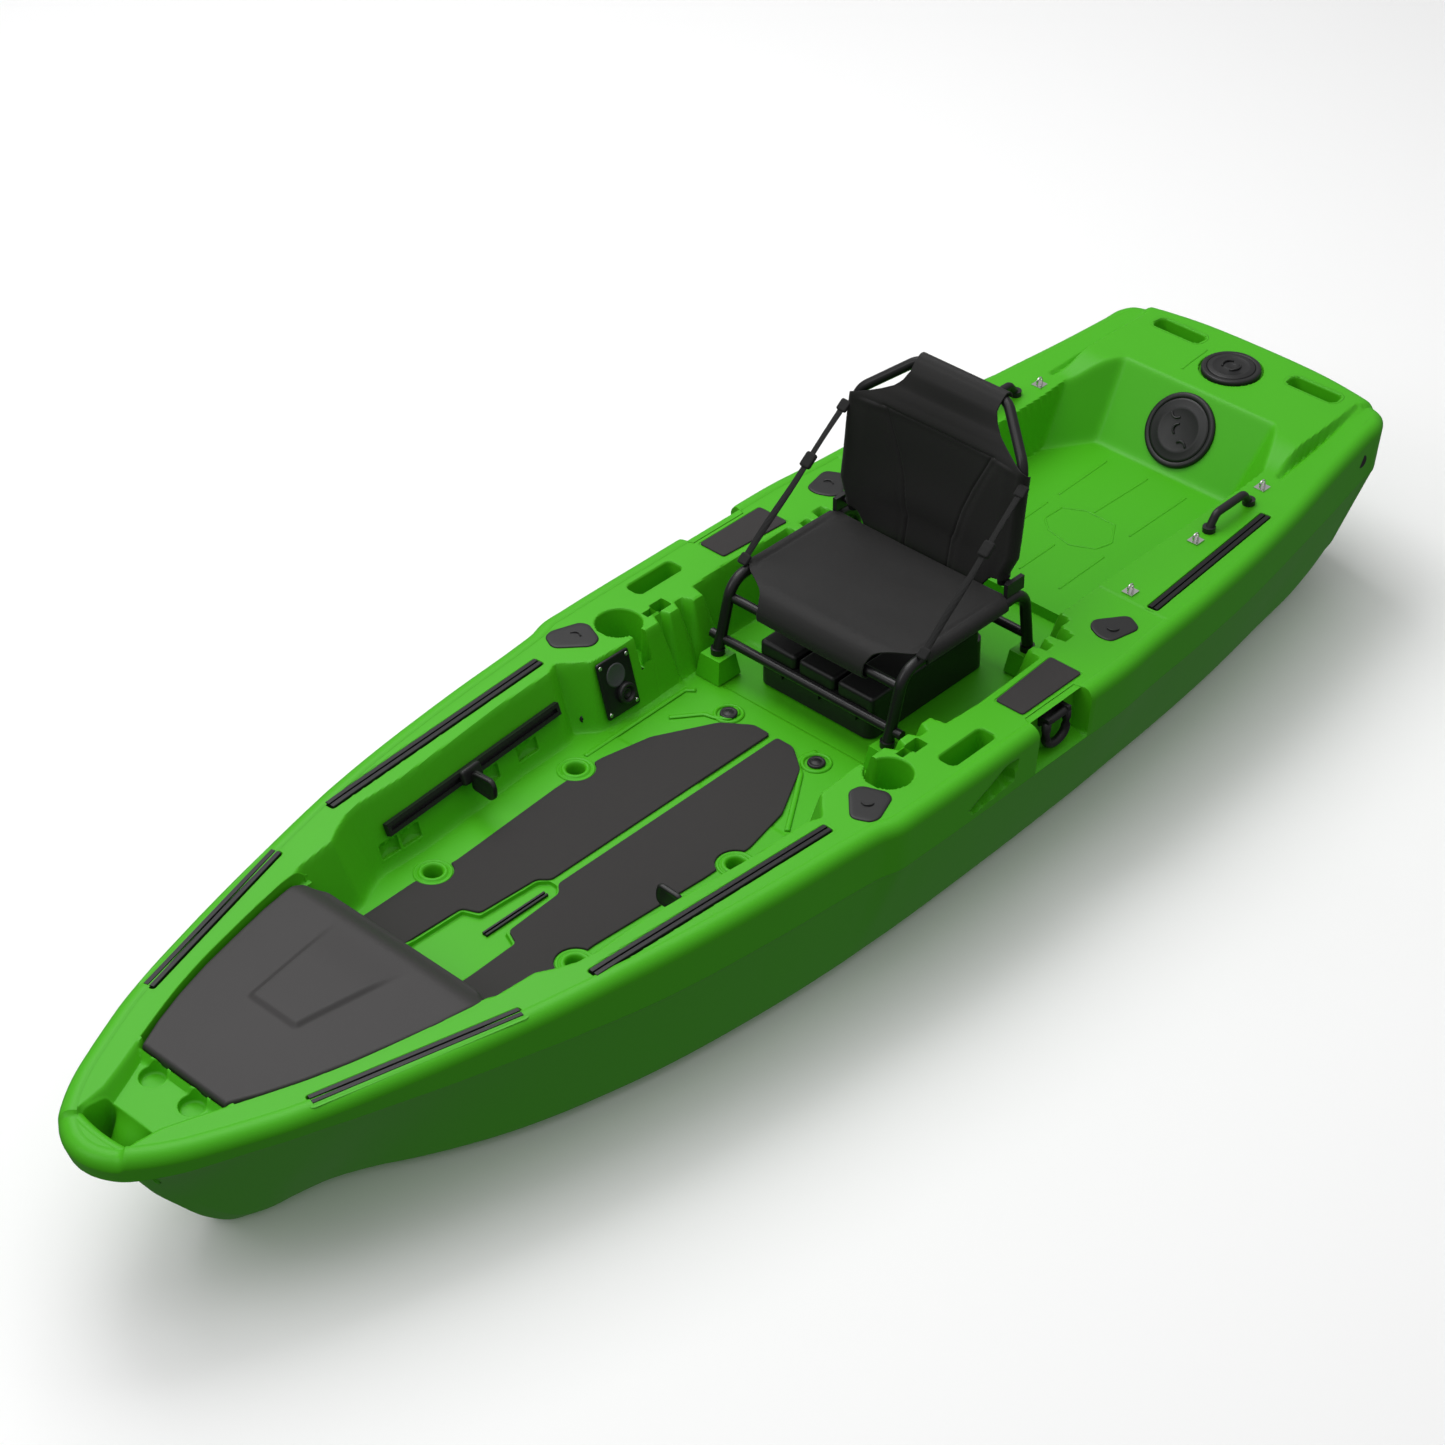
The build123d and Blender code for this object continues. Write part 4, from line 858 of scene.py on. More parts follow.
def seat_sheet():
    """Seat sling: from the hinges forward, then down over the front crossbar."""
    path = [(-484, 470), (-440, 471), (-300, 472), (-215, 472), (-190, 469), (-172, 460),
            (-159, 444), (-153, 428), (-155, 414), (-164, 407), (-176, 409)]
    rows, cols = 190, 220
    t = np.linspace(0, 1, rows)
    spot, _ = polyline_at(path, t)
    x_row = spot[:, 0]
    reach = np.interp(x_row, (-484, -476, -470, -232, -222, -205, -190, -180, -172, -160, -152),
                      (213, 226, 262, 262, 226, 205, 176, 158, 148, 141, 139))
    reach[t > 0.86] = 139
    side, drop = wrap_across(even_shares(cols), 225.0, reach[:, None], 13.4)
    share = np.clip(1 - (side / 222) ** 2, 0, 1)
    along = ease((x_row + 486) / 90) * ease((-168 - x_row) / 70)
    sag = 9.0 * share * (0.35 + 0.65 * along[:, None])
    pad = 2.2 * ease(1 - np.abs(np.abs(side) - 214) / 9) * along[:, None]
    x = np.broadcast_to(spot[:, 0, None], side.shape)
    z = spot[:, 1, None] - sag - drop - pad
    ripple = np.sin(side * 0.033 + x * 0.018) * np.sin(x * 0.031 - side * 0.012)
    z = z + 0.7 * ripple * along[:, None] * share
    points = np.stack([x, side, z], -1)
    seat = cloth_finish(surface("seat_cloth", points, flip=True), 3.0)
    dress(seat, "Seat cloth", "root", "seat_fabric", "seat_sling")


def back_sheet():
    """Back sling: up the frame and over its top bar."""
    path = [(-492, 452), (-492, 480), (-492, 530), (-500, 600), (-514, 720), (-518, 742),
            (-532, 764), (-562, 800), (-589, 831), (-600, 838), (-611, 834), (-614, 824)]
    rows, cols = 214, 190
    t = np.linspace(0, 1, rows)
    spot, normal = polyline_at(path, t)
    z_row = spot[:, 1]
    half = np.interp(z_row, (508, 552), (BACK_HALF_LOW, BACK_HALF_TOP))
    reach = half + np.interp(z_row, (728, 742, 754, 768, 782, 796, 812),
                             (33, 8, -22, -52, -78, -94, -104))
    reach = np.maximum(reach, 106)
    side, drop = wrap_across(even_shares(cols), half[:, None], reach[:, None], 12.6)
    a = np.abs(side)
    up = ease((z_row - 455) / 80) * ease((800 - z_row) / 80)
    hollow = 26.0 * np.clip(1 - (side / half[:, None]) ** 2, 0, 1) * (0.45 + 0.55 * up[:, None])
    lumbar = 9.0 * np.exp(-((z_row - 565) / 55) ** 2)[:, None] * np.exp(-(side / 120) ** 2)
    seam_y = np.interp(z_row, (455, 520, 540, 598, 650, 705, 755),
                       (56, 57, 64, 76, 95, 120, 142))
    on = ease((742 - z_row) / 8)[:, None]
    seam = np.exp(-((a - seam_y[:, None]) / 2.6) ** 2) * on
    roll = np.exp(-((a - seam_y[:, None] - 7) / 4.5) ** 2) * on
    fold_z = 744 - 9 * np.clip(1 - (side / 150) ** 2, 0, 1)
    crease = np.exp(-((z_row[:, None] - fold_z) / 4.0) ** 2) * ease((152 - a) / 12)
    puff = 3.0 * ease((a - seam_y[:, None]) / 30) * ease((half[:, None] - a) / 40) * on
    depth = -hollow + lumbar * 0.6 - 2.4 * seam + 1.3 * roll - 1.8 * crease + puff - drop
    fade = ease((812 - z_row) / 30)[:, None]
    depth = np.where(z_row[:, None] > 770, -drop + (depth + drop) * fade, depth)
    x = spot[:, 0, None] + normal[:, 0, None] * depth
    z = spot[:, 1, None] + normal[:, 1, None] * depth
    low = np.interp(a, (148, 158, 174, 205, 215), (440, 466, 489, 497, 499))
    z = np.maximum(z, low)
    points = np.stack([x, side, z], -1)
    back = cloth_finish(surface("back_cloth", points), 3.0)
    dress(back, "Seat cloth", "seat_back", "seat_fabric", "back_sling")


class KAYAK_OT_seat_cloth(bpy.types.Operator):
    """Seat and back slings: sheets wrapped round the tubes, sagged, seamed and cut away"""
    bl_idname = "kayak.seat_cloth"
    bl_label = "Seat cloth"

    def execute(self, context):
        seat_sheet()
        back_sheet()
        return {"FINISHED"}


def strap(sign, name):
    """Strap from the back frame to the seat frame, with its adjuster and end loops."""
    low_box, high_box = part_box("strap_" + name)
    top = np.array([low_box[0] * 1000 + 2, 0, high_box[2] * 1000])
    low = np.array([high_box[0] * 1000 - 2, 0, low_box[2] * 1000 + 1])
    ys = sorted((abs(low_box[1]) * 1000, abs(high_box[1]) * 1000))
    top[1], low[1] = sign * (ys[0] + 10), sign * (ys[1] - 10)
    run = (low - top) / np.linalg.norm(low - top)
    across = np.array([0, 1.0, 0])
    out = np.cross(run, across)
    out /= np.linalg.norm(out)
    out = out if out[2] > 0 else -out
    s = np.linspace(0, 1, 60)
    bow = 2.0 * np.sin(s * math.pi * 3) * np.sin(s * math.pi)
    twist = 0.25 * np.sin(s * math.pi * 2)
    middle = top + (low - top) * s[:, None] + out * bow[:, None]
    wide = across * np.cos(twist)[:, None] + out * np.sin(twist)[:, None]
    thick = out * np.cos(twist)[:, None] - across * np.sin(twist)[:, None]
    section = np.array([(-7, -1), (-7.6, 0), (-7, 1), (0, 1.3), (7, 1), (7.6, 0),
                        (7, -1), (0, -1.3)])
    points = (middle[:, None] + wide[:, None] * section[None, :, 0:1]
              + thick[:, None] * section[None, :, 1:2])
    pieces = [outwards(surface("strap_band", points, wrap_cols=True))]
    at = top + (low - top) * 0.36
    pieces.append(pillow("adjuster", rounded_box(17, 13, 6),
                         [(0, -3), (0, 2), (1.4, 4), (4, 4.6)], at, run, out))
    for spot, size in ((top + run * 8, 13), (low - run * 12, 12)):
        pieces.append(pillow("loop", rounded_box(size, 12, 5),
                             [(0, -2.5), (0, 2), (1.5, 3.4)], spot, run, out))
    piece = join("seat_strap_" + name, pieces)
    dress(piece, "Webbing", "root", "webbing", "strap_" + name)
    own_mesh(piece)


class KAYAK_OT_straps(bpy.types.Operator):
    """Seat straps with their adjusters and end loops"""
    bl_idname = "kayak.straps"
    bl_label = "Straps"

    def execute(self, context):
        for sign, name in SIDES:
            strap(sign, name)
        return {"FINISHED"}


class KAYAK_OT_bow_cover(bpy.types.Operator):
    """Bow cover: a crowned skin with a raised panel and a rolled rear lip"""
    bl_idname = "kayak.bow_cover"
    bl_label = "Bow cover"

    def execute(self, context):
        x = np.concatenate([[1437.0], np.linspace(1437, 933, 176), [933.0]])
        v = np.concatenate([[-1.0], even_shares(150), [1.0]])
        half = cover_half(x)
        y = v[None, :] * half[:, None]
        x = np.broadcast_to(x[:, None], y.shape).copy()
        a = np.abs(y)
        d = np.minimum(np.minimum(half[:, None] - a, 1437 - x), x - 933)
        d = np.clip(d, 0, 7)
        z = 373.4 - 7 + np.sqrt(np.maximum(49 - (7 - d) ** 2, 0))
        crown = 7 * (1 - (y / np.maximum(half[:, None], 1)) ** 2)
        z += crown * ease((1437 - x) / 260) * ease((x - 930) / 60)
        width = np.interp(x, (975, 1228), (99, 60))
        panel = ease((width - a) / 15 + 0.5) * ease((1236 - x) / 15 + 0.5) * ease((x - 985) / 120)
        z += 6.5 * panel
        # the rear rolls down to the lip
        z -= 22 * ease((1003 - x) / 70) ** 1.4
        z -= 12 * ease((960 - x) / 27) * ease((a - half[:, None] + 30) / 30)
        z[:, 0] = z[:, -1] = z[0, :] = 353.2
        z[-1] = np.minimum(z[-2], 340.0)
        z[:, 0], z[:, -1] = np.minimum(z[:, 0], z[:, 1]), np.minimum(z[:, -1], z[:, -2])
        cover = surface("bow_cover_skin", np.stack([x, y, z], -1), flip=True)
        dress(cloth_finish(cover, 3.0), "Dark cover", "bow_lid", "cover_plastic", "bow_cover")
        return {"FINISHED"}


def bead(line, height, radius, flat):
    """Low moulded bead along a line on a floor, half sunk into it."""
    line = np.asarray(line, float)
    run = np.concatenate([[0], np.cumsum(np.hypot(*np.diff(line, axis=0).T))])
    at = np.linspace(0, run[-1], max(int(run[-1] / 5), 6))
    path = at_height(np.stack([np.interp(at, run, line[:, k]) for k in (0, 1)], -1), height)
    return bar("bead", path, radius, 10, flat)


def curved_mark(centre, radius, start, end, height, rise, thick, x_axis=(1, 0, 0),
                z_axis=(0, 0, 1)):
    """Moulded finger mark: a low round bar along an arc that rises in its middle."""
    arc = ring_outline(0, 0, radius, start, end, 18)
    local = at_height(arc, height + rise * np.sin(np.linspace(0, math.pi, 18)))
    return bar("mark", place(local, centre, x_axis, z_axis), thick, 12)


def flat_fill(name, ring):
    """One flat face inside a closed run of points, split into triangles that face up."""
    corners = np.array(tessellate_polygon([[Vector(spot) for spot in ring]]))
    a, b, c = (ring[corners[:, k], :2] for k in range(3))
    down = np.cross(b - a, c - a) < 0
    corners[down] = corners[down][:, ::-1]
    mesh = bpy.data.meshes.new(name)
    mesh.from_pydata((ring / 1000).tolist(), [], corners.tolist())
    obj = bpy.data.objects.new(name, mesh)
    bpy.context.scene.collection.objects.link(obj)
    return obj


def corner_plates():
    """Five-sided covers on the gunwales, each with its finger mark."""
    front = [(154, 428), (171, 391), (112, 336), (84, 343), (64, 394), (73, 412), (134, 434)]
    rear = [(-594, 405), (-589, 376), (-604, 343), (-628, 332), (-690, 378), (-668, 421)]
    pieces = []
    base = 391.2
    for outline, centre in ((front, (113, 386)), (rear, (-633, 380))):
        for sign in (1, -1):
            points = rounded_polygon([(x, y * sign) for x, y in outline], 16)
            pieces.append(pillow("corner", points, [
                (0, base - 2), (0, base + 0.6), (1.2, base + 1.8), (3.5, base + 2.2),
                (9, base + 2.3)]))
            turn = -0.6 if sign > 0 else 2.2
            pieces.append(curved_mark((centre[0], centre[1] * sign, base + 1.9), 12,
                                      turn, turn + 2.4, 0.4, 1.5, 1.9))
    covers = join("corner_plates", pieces)
    dress(covers, "Black fitting", "root", "black_plastic", "corner_covers")


def side_pads():
    """Foam pads on the gunwales beside the seat."""
    pieces = []
    for sign in (1, -1):
        outline = rounded_polygon([(-473, 349 * sign), (-291, 359 * sign), (-291, 427 * sign),
                                   (-473, 427 * sign)], 7)
        pieces.append(pillow("pad", outline, [(0, 389.6), (0, 392.4), (0.8, 393.1),
                                              (2, 393.3)]))
    pads = join("side_pad_sheets", pieces)
    dress(pads, "Deck foam", "root", "foam_pad", "side_pads")


def floor_pads():
    """Deck pads of the foot well, cut round the drains and the plate."""
    for sign, name in SIDES:
        corners = rounded_polygon([
            (940, 76), (940, 190), (845, 190), (735, 192), (640, 180), (360, 198), (235, 200),
            (118, 176), (-8, 109), (-50, 52), (-50, 9), (556, 9), (574, 30), (712, 38),
            (727, 72), (839, 76)], 9)
        outline = evenly(corners, 0.4)
        for spot in DRAINS:
            rel = outline - spot
            far = np.linalg.norm(rel, axis=1)[:, None]
            outline = np.where(far < 40, spot + rel * 40 / far, outline)
        outline = evenly(outline, 3)
        inward = inwards(outline)
        rings = []
        for step_in, height in ((0, 249.8), (0, 253.4), (0.7, 254.3), (2.2, 254.6)):
            rings.append(at_height((outline + inward * step_in) * (1, sign), height))
        edge = surface("pad_edge", np.stack(rings), wrap_cols=True)
        top = flat_fill("pad_top", rings[-1])
        pad = join("floor_pad_sheet_" + name, [edge, top])
        dress(pad, "Deck foam", "root", "foam_pad", "floor_pad_" + name)


def gear_tracks():
    """Gear tracks: a channel bar along each line, at the deck's height."""
    section = np.array([(-11, -7), (-11, 0.4), (-10.2, 1.2), (-2.2, 1.2), (-1.6, 0.6),
                        (-1.6, -3), (1.6, -3), (1.6, 0.6), (2.2, 1.2), (10.2, 1.2), (11, 0.4),
                        (11, -7)])
    for ((x0, y0), (x1, y1)), name in zip(TRACK_LINES, ("bow", "mid", "rear")):
        pieces = []
        for sign in (1, -1):
            t = np.concatenate([[0.0], np.linspace(0, 1, 24), [1.0]])
            path = np.stack([x0 + (x1 - x0) * t, (y0 + (y1 - y0) * t) * sign], -1)
            side = np.array([-(y1 - y0) * sign, x1 - x0]) / math.hypot(x1 - x0, y1 - y0)
            xy = path[:, None] + side * section[None, :, 0:1]
            deck = rim_height(path[:, 0], path[:, 1])[:, None]
            points = np.concatenate([xy, (deck + section[None, :, 1])[..., None]], -1)
            points[0], points[-1] = points[0].mean(0), points[-1].mean(0)
            pieces.append(surface("track", points, wrap_cols=True))
        tracks = join("gear_tracks_" + name, pieces)
        tracks.data.set_sharp_from_angle(angle=math.radians(35))
        dress(tracks, "Black anodised", "root", "track_metal", name + "_tracks")


def tank_hatch():
    """Round hatch in the tank well's back wall: ring, and lid with its grips."""
    wall = np.array([157.0, 0, 118.0])
    wall /= np.linalg.norm(wall)
    spot = box_mm("tank_hatch_ring")[2] - wall * 4.5
    ring = lathe("tank_ring_skin", [(71.6, -1), (71.6, 7), (73, 8.4), (79, 8.8), (83, 7.4),
                                    (84.5, 4), (84.5, -1), (71.6, -1)], spot, wall, (0, 1, 0),
                 96)
    dress(outwards(ring), "Black fitting", "root", "black_plastic", "tank_hatch_ring")
    profile = [(0, 8.6), (20, 8.6), (24, 9.2), (46, 9.2), (49, 10.4), (52, 9.2), (66, 9.0),
               (70, 8.2), (71.2, 6.5), (71.2, 0.5), (0, 0.5)]
    pieces = [outwards(lathe("lid", profile, spot, wall, (0, 1, 0), 96))]
    up_wall = np.cross(wall, (0, 1, 0))
    for along, across, turn in ((20, 34, 0.3), (0, 0, 1.9), (-20, -34, 3.4)):
        centre = spot + (0, along, 0) - up_wall * across
        pieces.append(curved_mark(centre, 13, turn, turn + 2.3, 9.4, 2.0, 2.6, (0, 1, 0),
                                  wall))
    lid = join("tank_lid_skin", pieces)
    dress(lid, "Black fitting", "tank_lid", "black_plastic", "tank_hatch_lid")


def stern_hatch():
    """Round hatch in the stern deck: ring, and lid with its grips."""
    low, _, middle = box_mm("stern_hatch_ring")
    spot = np.array([middle[0], 0, low[2]])
    ring = lathe("deck_ring_skin", [(53.6, 0), (53.6, 6), (55, 7.4), (62, 7.8), (65, 6.4),
                                    (66.5, 3), (66.5, -8), (53.6, -8)], spot, count=96)
    dress(outwards(ring), "Black fitting", "root", "black_plastic", "stern_hatch_ring")
    profile = [(0, 8.4), (9, 8.4), (11, 9.6), (14, 9.6), (16, 8.6), (38, 8.6), (40, 9.8),
               (43, 9.8), (45, 8.8), (51, 8.4), (53.2, 6.8), (53.2, 0.5), (0, 0.5)]
    pieces = [outwards(lathe("lid", profile, spot, count=96))]
    for start, end in ((0.4, 2.4), (3.5, 5.5)):
        pieces.append(curved_mark(spot, 20, start, end, 9.2, 2.0, 2.2))
    lid = join("deck_lid_skin", pieces)
    dress(lid, "Black fitting", "stern_lid", "black_plastic", "stern_hatch_lid")


class KAYAK_OT_plates(bpy.types.Operator):
    """Corner covers, pads, gear tracks and the two round hatches"""
    bl_idname = "kayak.plates"
    bl_label = "Plates and hatches"

    def execute(self, context):
        corner_plates()
        side_pads()
        floor_pads()
        gear_tracks()
        tank_hatch()
        stern_hatch()
        return {"FINISHED"}


def moulded_pockets():
    """Pockets and track beds, the cups, and the edge round the bow cover's pocket."""
    pieces = []
    cover_side = np.array([(1436, 120), (1380, 143), (1310, 170), (1230, 195), (1140, 217),
                           (1060, 235), (984, 248), (938, 249)], float)
    cup = np.vstack([[(36, 293), (36, 299), (36, 305)],
                     ring_outline(*CUP, CUP_RADIUS, math.radians(-69), math.radians(249), 64),
                     [(2, 305), (2, 299), (2, 293)]])
    for sign in (1, -1):
        for outline, floor, radius in pockets():
            if sign > 0 or outline[:, 1].min() > 0:
                pieces.append(pocket("pocket", outline * (1, sign), floor, radius))
        pieces.append(pocket("cup", cup * (1, sign), 300.0, 5.0, False))
        full = ring_outline(CUP[0], CUP[1] * sign, CUP_RADIUS + 2)
        pieces.append(flat_fill("cup_floor", at_height(full, 300.2)))
        side = spline(cover_side, 90) * (1, sign)
        pieces.append(pocket("cover_edge", side, 352.0, 2.5, False))
    return pieces


def drain_rims():
    """Rims of the drains and their bores down to the bottom."""
    pieces = []
    for hx, hy in DRAINS:
        for sign in (1, -1):
            pieces.append(lathe("drain", [
                (38.4, 246), (38, 251.6), (37, 252.6), (33, 252.8), (31.5, 251.0),
                (29.5, 251.2), (28, 254.0), (25, 255.0), (21.5, 254.4), (19, 251), (18, 244),
                (17, 200), (17, 4), (19, 0.4), (24, 0.2)], (hx, hy * sign, 0), count=48))
    return pieces


def bow_handle():
    """Bow handle: a round bar across the nose, and the walls of the slot behind it."""
    share = even_shares(30)
    path = np.stack([1624 - 7 * share**2, 70 * share, np.full(30, 348.5)], -1)
    pieces = [bar("grip_bar", path, 15, 24)]
    corners = [(SLOT_REAR, -SLOT_HALF), (SLOT_FRONT, -SLOT_HALF), (SLOT_FRONT, SLOT_HALF),
               (SLOT_REAR, SLOT_HALF)]
    outline = evenly(rounded_polygon(corners, SLOT_CORNER, 8), 3)
    away = outline - outline.mean(0)
    away /= np.linalg.norm(away, axis=1)[:, None]
    bed = deck_height(*(outline + away * 3.5).T) + 0.3
    walls = []
    for step_in, drop in ((-6.5, 0.2), (-4.5, 0.0), (-2.5, 0.6), (-1.0, 2.0), (0.0, 4.5)):
        ring = outline - away * step_in
        level = deck_height(*ring.T) + 0.3 if step_in < -4 else bed
        walls.append(at_height(ring, level - drop))
    low = outline * (1, 0.97)
    low[:, 0] = slot_exit(low[:, 0], np.abs(low[:, 1]))
    lines = hull_lines()
    share = np.linspace(0, 1, 40)[:, None, None]
    under = (lines[:, :3] * (1 - share) + lines[:, 3:6] * share).reshape(-1, 3)
    gap = np.hypot(*(low[:, None] - under[None, :, :2]).transpose(2, 0, 1))
    foot = under[gap.argmin(1), 2] - 1.5
    for share in (0.3, 0.65, 1.0):
        xy = outline + (low - outline) * share
        walls.append(at_height(xy, bed - 4.5 + (foot - bed + 4.5) * share))
    pieces.append(surface("slot_walls", np.stack(walls), wrap_cols=True, flip=True))
    return pieces


def wall_recesses():
    """Recesses in the foot well's walls, under the rails."""
    pieces = []
    for sign in (1, -1):
        for spot, along, up, out, (half_u, half_v) in wall_pockets(sign):
            outline = rounded_box(half_u, half_v, 4)
            rings = []
            for step_out, height in ((6, 0.1), (2.6, 0.5), (1.2, 0.2), (0.2, -1.2), (0, -3),
                                     (-0.5, -9.5)):
                grow = 1 + step_out / np.array([half_u, half_v])
                rings.append(at_height(outline * grow, height))
            rings.append(rings[-1] * (0.0, 0.0, 1.0))
            points = np.stack(rings)
            spots = (points[..., 0:1] * along + points[..., 1:2] * up
                     + points[..., 2:3] * out + spot)
            pieces.append(surface("wall_pocket", spots, wrap_cols=True))
    return pieces


def floor_beads():
    """Edges of grooves on the foot well's floor, and beads on the stern deck and tank floor."""
    pieces = []
    for line in (
            [(245, -230), (-43, -235), (-58, -218)],
            [(44, -196), (-12, -152), (-18, -128), (-34, -106), (-58, -104), (-71, -120)],
            [(148, 216), (60, 158), (1, 118), (-18, 92), (-44, 84), (-73, 93)],
            [(240, 232), (-40, 236), (-58, 220)]):
        pieces.append(bead(line, 250.4, 5.5, 0.42))
    for sign in (1, -1):
        pieces.append(lathe("plug_ring", [(32, 249.6), (30.5, 252.0), (28, 252.8),
                                          (25.5, 252.0), (24, 249.6)],
                            (FLOOR_PLUG[0], FLOOR_PLUG[1] * sign, 0), count=40))
    arm = [(-1462, -80), (-1500, -84), (-1563, -87)]
    pieces.append(bead(arm, 426.0, 3.0, 0.5))
    octagon = [(-1045, -72), (-1072, -25), (-1070, 53), (-1012, 90), (-972, 79), (-946, 28),
               (-961, -41), (-990, -74), (-1045, -72)]
    for line in (
            [(-1253, -113), (-1080, -108)], [(-1040, -107), (-956, -105)],
            [(-1257, -4), (-1077, -9)], [(-1255, 102), (-1057, 102)], [(-925, 5), (-805, 6)],
            [(-959, 110), (-804, 113)], [(-925, -104), (-805, -104)], octagon):
        pieces.append(bead(line, 270.0, 2.6, 0.5))
    return pieces


class KAYAK_OT_moulded_rims(bpy.types.Operator):
    """Green moulded trim: pockets, cups, drain rims, the bow handle, recesses and beads"""
    bl_idname = "kayak.moulded_rims"
    bl_label = "Moulded rims"

    def execute(self, context):
        trim = join("moulded_rims", moulded_pockets() + drain_rims() + bow_handle()
                    + wall_recesses() + floor_beads())
        dress(trim, "Green moulding", "root", "hull_plastic")
        return {"FINISHED"}


PANEL_WALL = np.array([0, 0.963, 0.269])    # out of the wall that carries the panel


def control_panel():
    """Control panel: a plate with four screws and a bare disc."""
    spot = box_mm("control_panel")[2] - PANEL_WALL * 2.5
    x_axis = np.array([-1.0, 0, 0])
    panel = pillow("panel_plate", rounded_box(44, 62, 6),
                   [(0, 0), (0, 3.6), (1.2, 4.8), (2.4, 5.0)], spot, x_axis, PANEL_WALL)
    dress(panel, "Panel face", "root", "panel_plastic", "control_panel")
    y_axis = np.cross(PANEL_WALL, x_axis)
    pieces = []
    for u in (-36, 36):
        for w in (-52, 52):
            at = spot + x_axis * u + y_axis * w
            pieces.append(lathe("screw", [(0, 5.9), (1.2, 5.6), (2.6, 6.6), (4.0, 6.0),
                                          (4.4, 4.8)], at, PANEL_WALL, count=20))
    screws = join("panel_screws", pieces)
    dress(screws, "Polished steel", "root", "panel_plastic")
    at = spot - x_axis * 2.0 + y_axis * 22
    disc = lathe("bare_disc", [(0, 6.0), (20, 6.0), (21.5, 6.6), (24, 6.6), (25, 4.8)], at,
                 PANEL_WALL, count=48)
    dress(disc, "Disc face", "root", "panel_plastic")


def control_socket():
    """Socket with a raised ring beside the panel."""
    at = box_mm("control_socket")[2] - PANEL_WALL * 5
    profile = [(0, 4.5), (7, 4.5), (7.5, 6.0), (10.5, 6.0), (11.5, 2.5), (14, 2.5), (14.5, 9.4),
               (16, 10.4), (20, 10.4), (21.4, 9.0), (22.5, 6.0), (22.5, 0.1)]
    socket = lathe("socket_ring", profile, at, PANEL_WALL, count=48)
    dress(socket, "Black fitting", "root", "black_plastic", "control_socket")


def plugs():
    """Plugs in the foot well's floor and wall."""
    pieces = []
    for sign in (1, -1):
        pieces.append(lathe("plug", [(0, 254.4), (7, 254.4), (9, 253.2), (13, 253.2),
                                     (15.5, 254.2), (18, 253.2), (18.5, 250)],
                            (FLOOR_PLUG[0], FLOOR_PLUG[1] * sign, 0), count=32))
    plugs = join("floor_plug_caps", pieces)
    dress(plugs, "Black fitting", "root", "black_plastic", "floor_plugs")
    profile = [(0, 3.2), (4, 3.2), (5.5, 2.2), (8.5, 2.4), (9.5, 0.8), (9.5, -4)]
    plug = lathe("wall_plug", profile, (183, -295, 275), PANEL_WALL, count=28)
    dress(plug, "Black fitting", "root", "black_plastic")


def side_handles():
    """Side handles: a chunky ring of D shape under a bracket."""
    for sign, name in SIDES:
        low, high, middle = box_mm("handle_loop_" + name)
        middle[2] = 0
        half, top, foot = 31.0, high[2] - 8, low[2] + 1
        angle = np.linspace(math.pi, 2 * math.pi, 22)
        arc = np.stack([half * np.cos(angle), np.full(22, 0.0),
                        foot + 24 + 24 * np.sin(angle)], -1)
        ends = np.array([[-half, 0, top], [-half, 0, (top + foot + 24) / 2]])
        path = np.concatenate([ends, arc, ends[::-1] * (-1, 1, 1)])
        pin = np.linspace((-half - 3, 0, top), (half + 3, 0, top), 12)
        ring = join("handle_ring_" + name, [bar("ring", path + middle, 9.6, 16),
                                            bar("pin", pin + middle, 8.2, 16)])
        dress(ring, "Black fitting", "loop_" + name, "black_plastic", "handle_loop_" + name)


class KAYAK_OT_fittings(bpy.types.Operator):
    """Control panel with its socket, plugs and side handles"""
    bl_idname = "kayak.fittings"
    bl_label = "Fittings"

    def execute(self, context):
        control_panel()
        control_socket()
        plugs()
        side_handles()
        return {"FINISHED"}


class KAYAK_OT_foot_pegs(bpy.types.Operator):
    """Foot pegs: a rounded pedal on its slider"""
    bl_idname = "kayak.foot_pegs"
    bl_label = "Foot pegs"

    def execute(self, context):
        for sign, name in SIDES:
            low, high, middle = box_mm("foot_peg_" + name)
            inner, outer = sorted((abs(low[1]), abs(high[1])))
            lean = np.array([-0.072, -sign * 0.934, 0.35])
            pieces = [pillow("slider", rounded_box(26, 16, 8),
                             [(0, -5), (0, 3), (1.5, 5.5), (4, 6.5)],
                             (middle[0], sign * (outer - 10), 328), (1, -0.072 * sign, 0), lean)]
            width = outer - inner - 16
            face = rounded_polygon([(-width / 2, -22), (width / 2 - 8, -24), (width / 2, -8),
                                    (width / 2, 14), (width / 2 - 10, 24), (-width / 2, 20)], 12)
            centre = (middle[0], sign * (inner + width / 2 + 1), 317)
            for z_axis in ((-1, 0, 0), (1, 0, 0)):
                pieces.append(pillow("pedal", face,
                                     [(0, -1), (0, 3.5), (1.5, 5.5), (4.5, 6.2), (8, 4.2)],
                                     centre, (0, -sign, 0), z_axis))
            peg = join("foot_pedal_" + name, pieces)
            dress(peg, "Black fitting", "peg_" + name, "black_plastic", "foot_peg_" + name)
        return {"FINISHED"}


def new_group(name, inputs, outputs):
    """Shader node group with named sockets."""
    group = bpy.data.node_groups.new(name, "ShaderNodeTree")
    for label, kind, value in inputs:
        socket = group.interface.new_socket(label, in_out="INPUT", socket_type=kind)
        socket.default_value = value
    for label, kind in outputs:
        group.interface.new_socket(label, in_out="OUTPUT", socket_type=kind)
    return group, group.nodes.new("NodeGroupInput"), group.nodes.new("NodeGroupOutput")


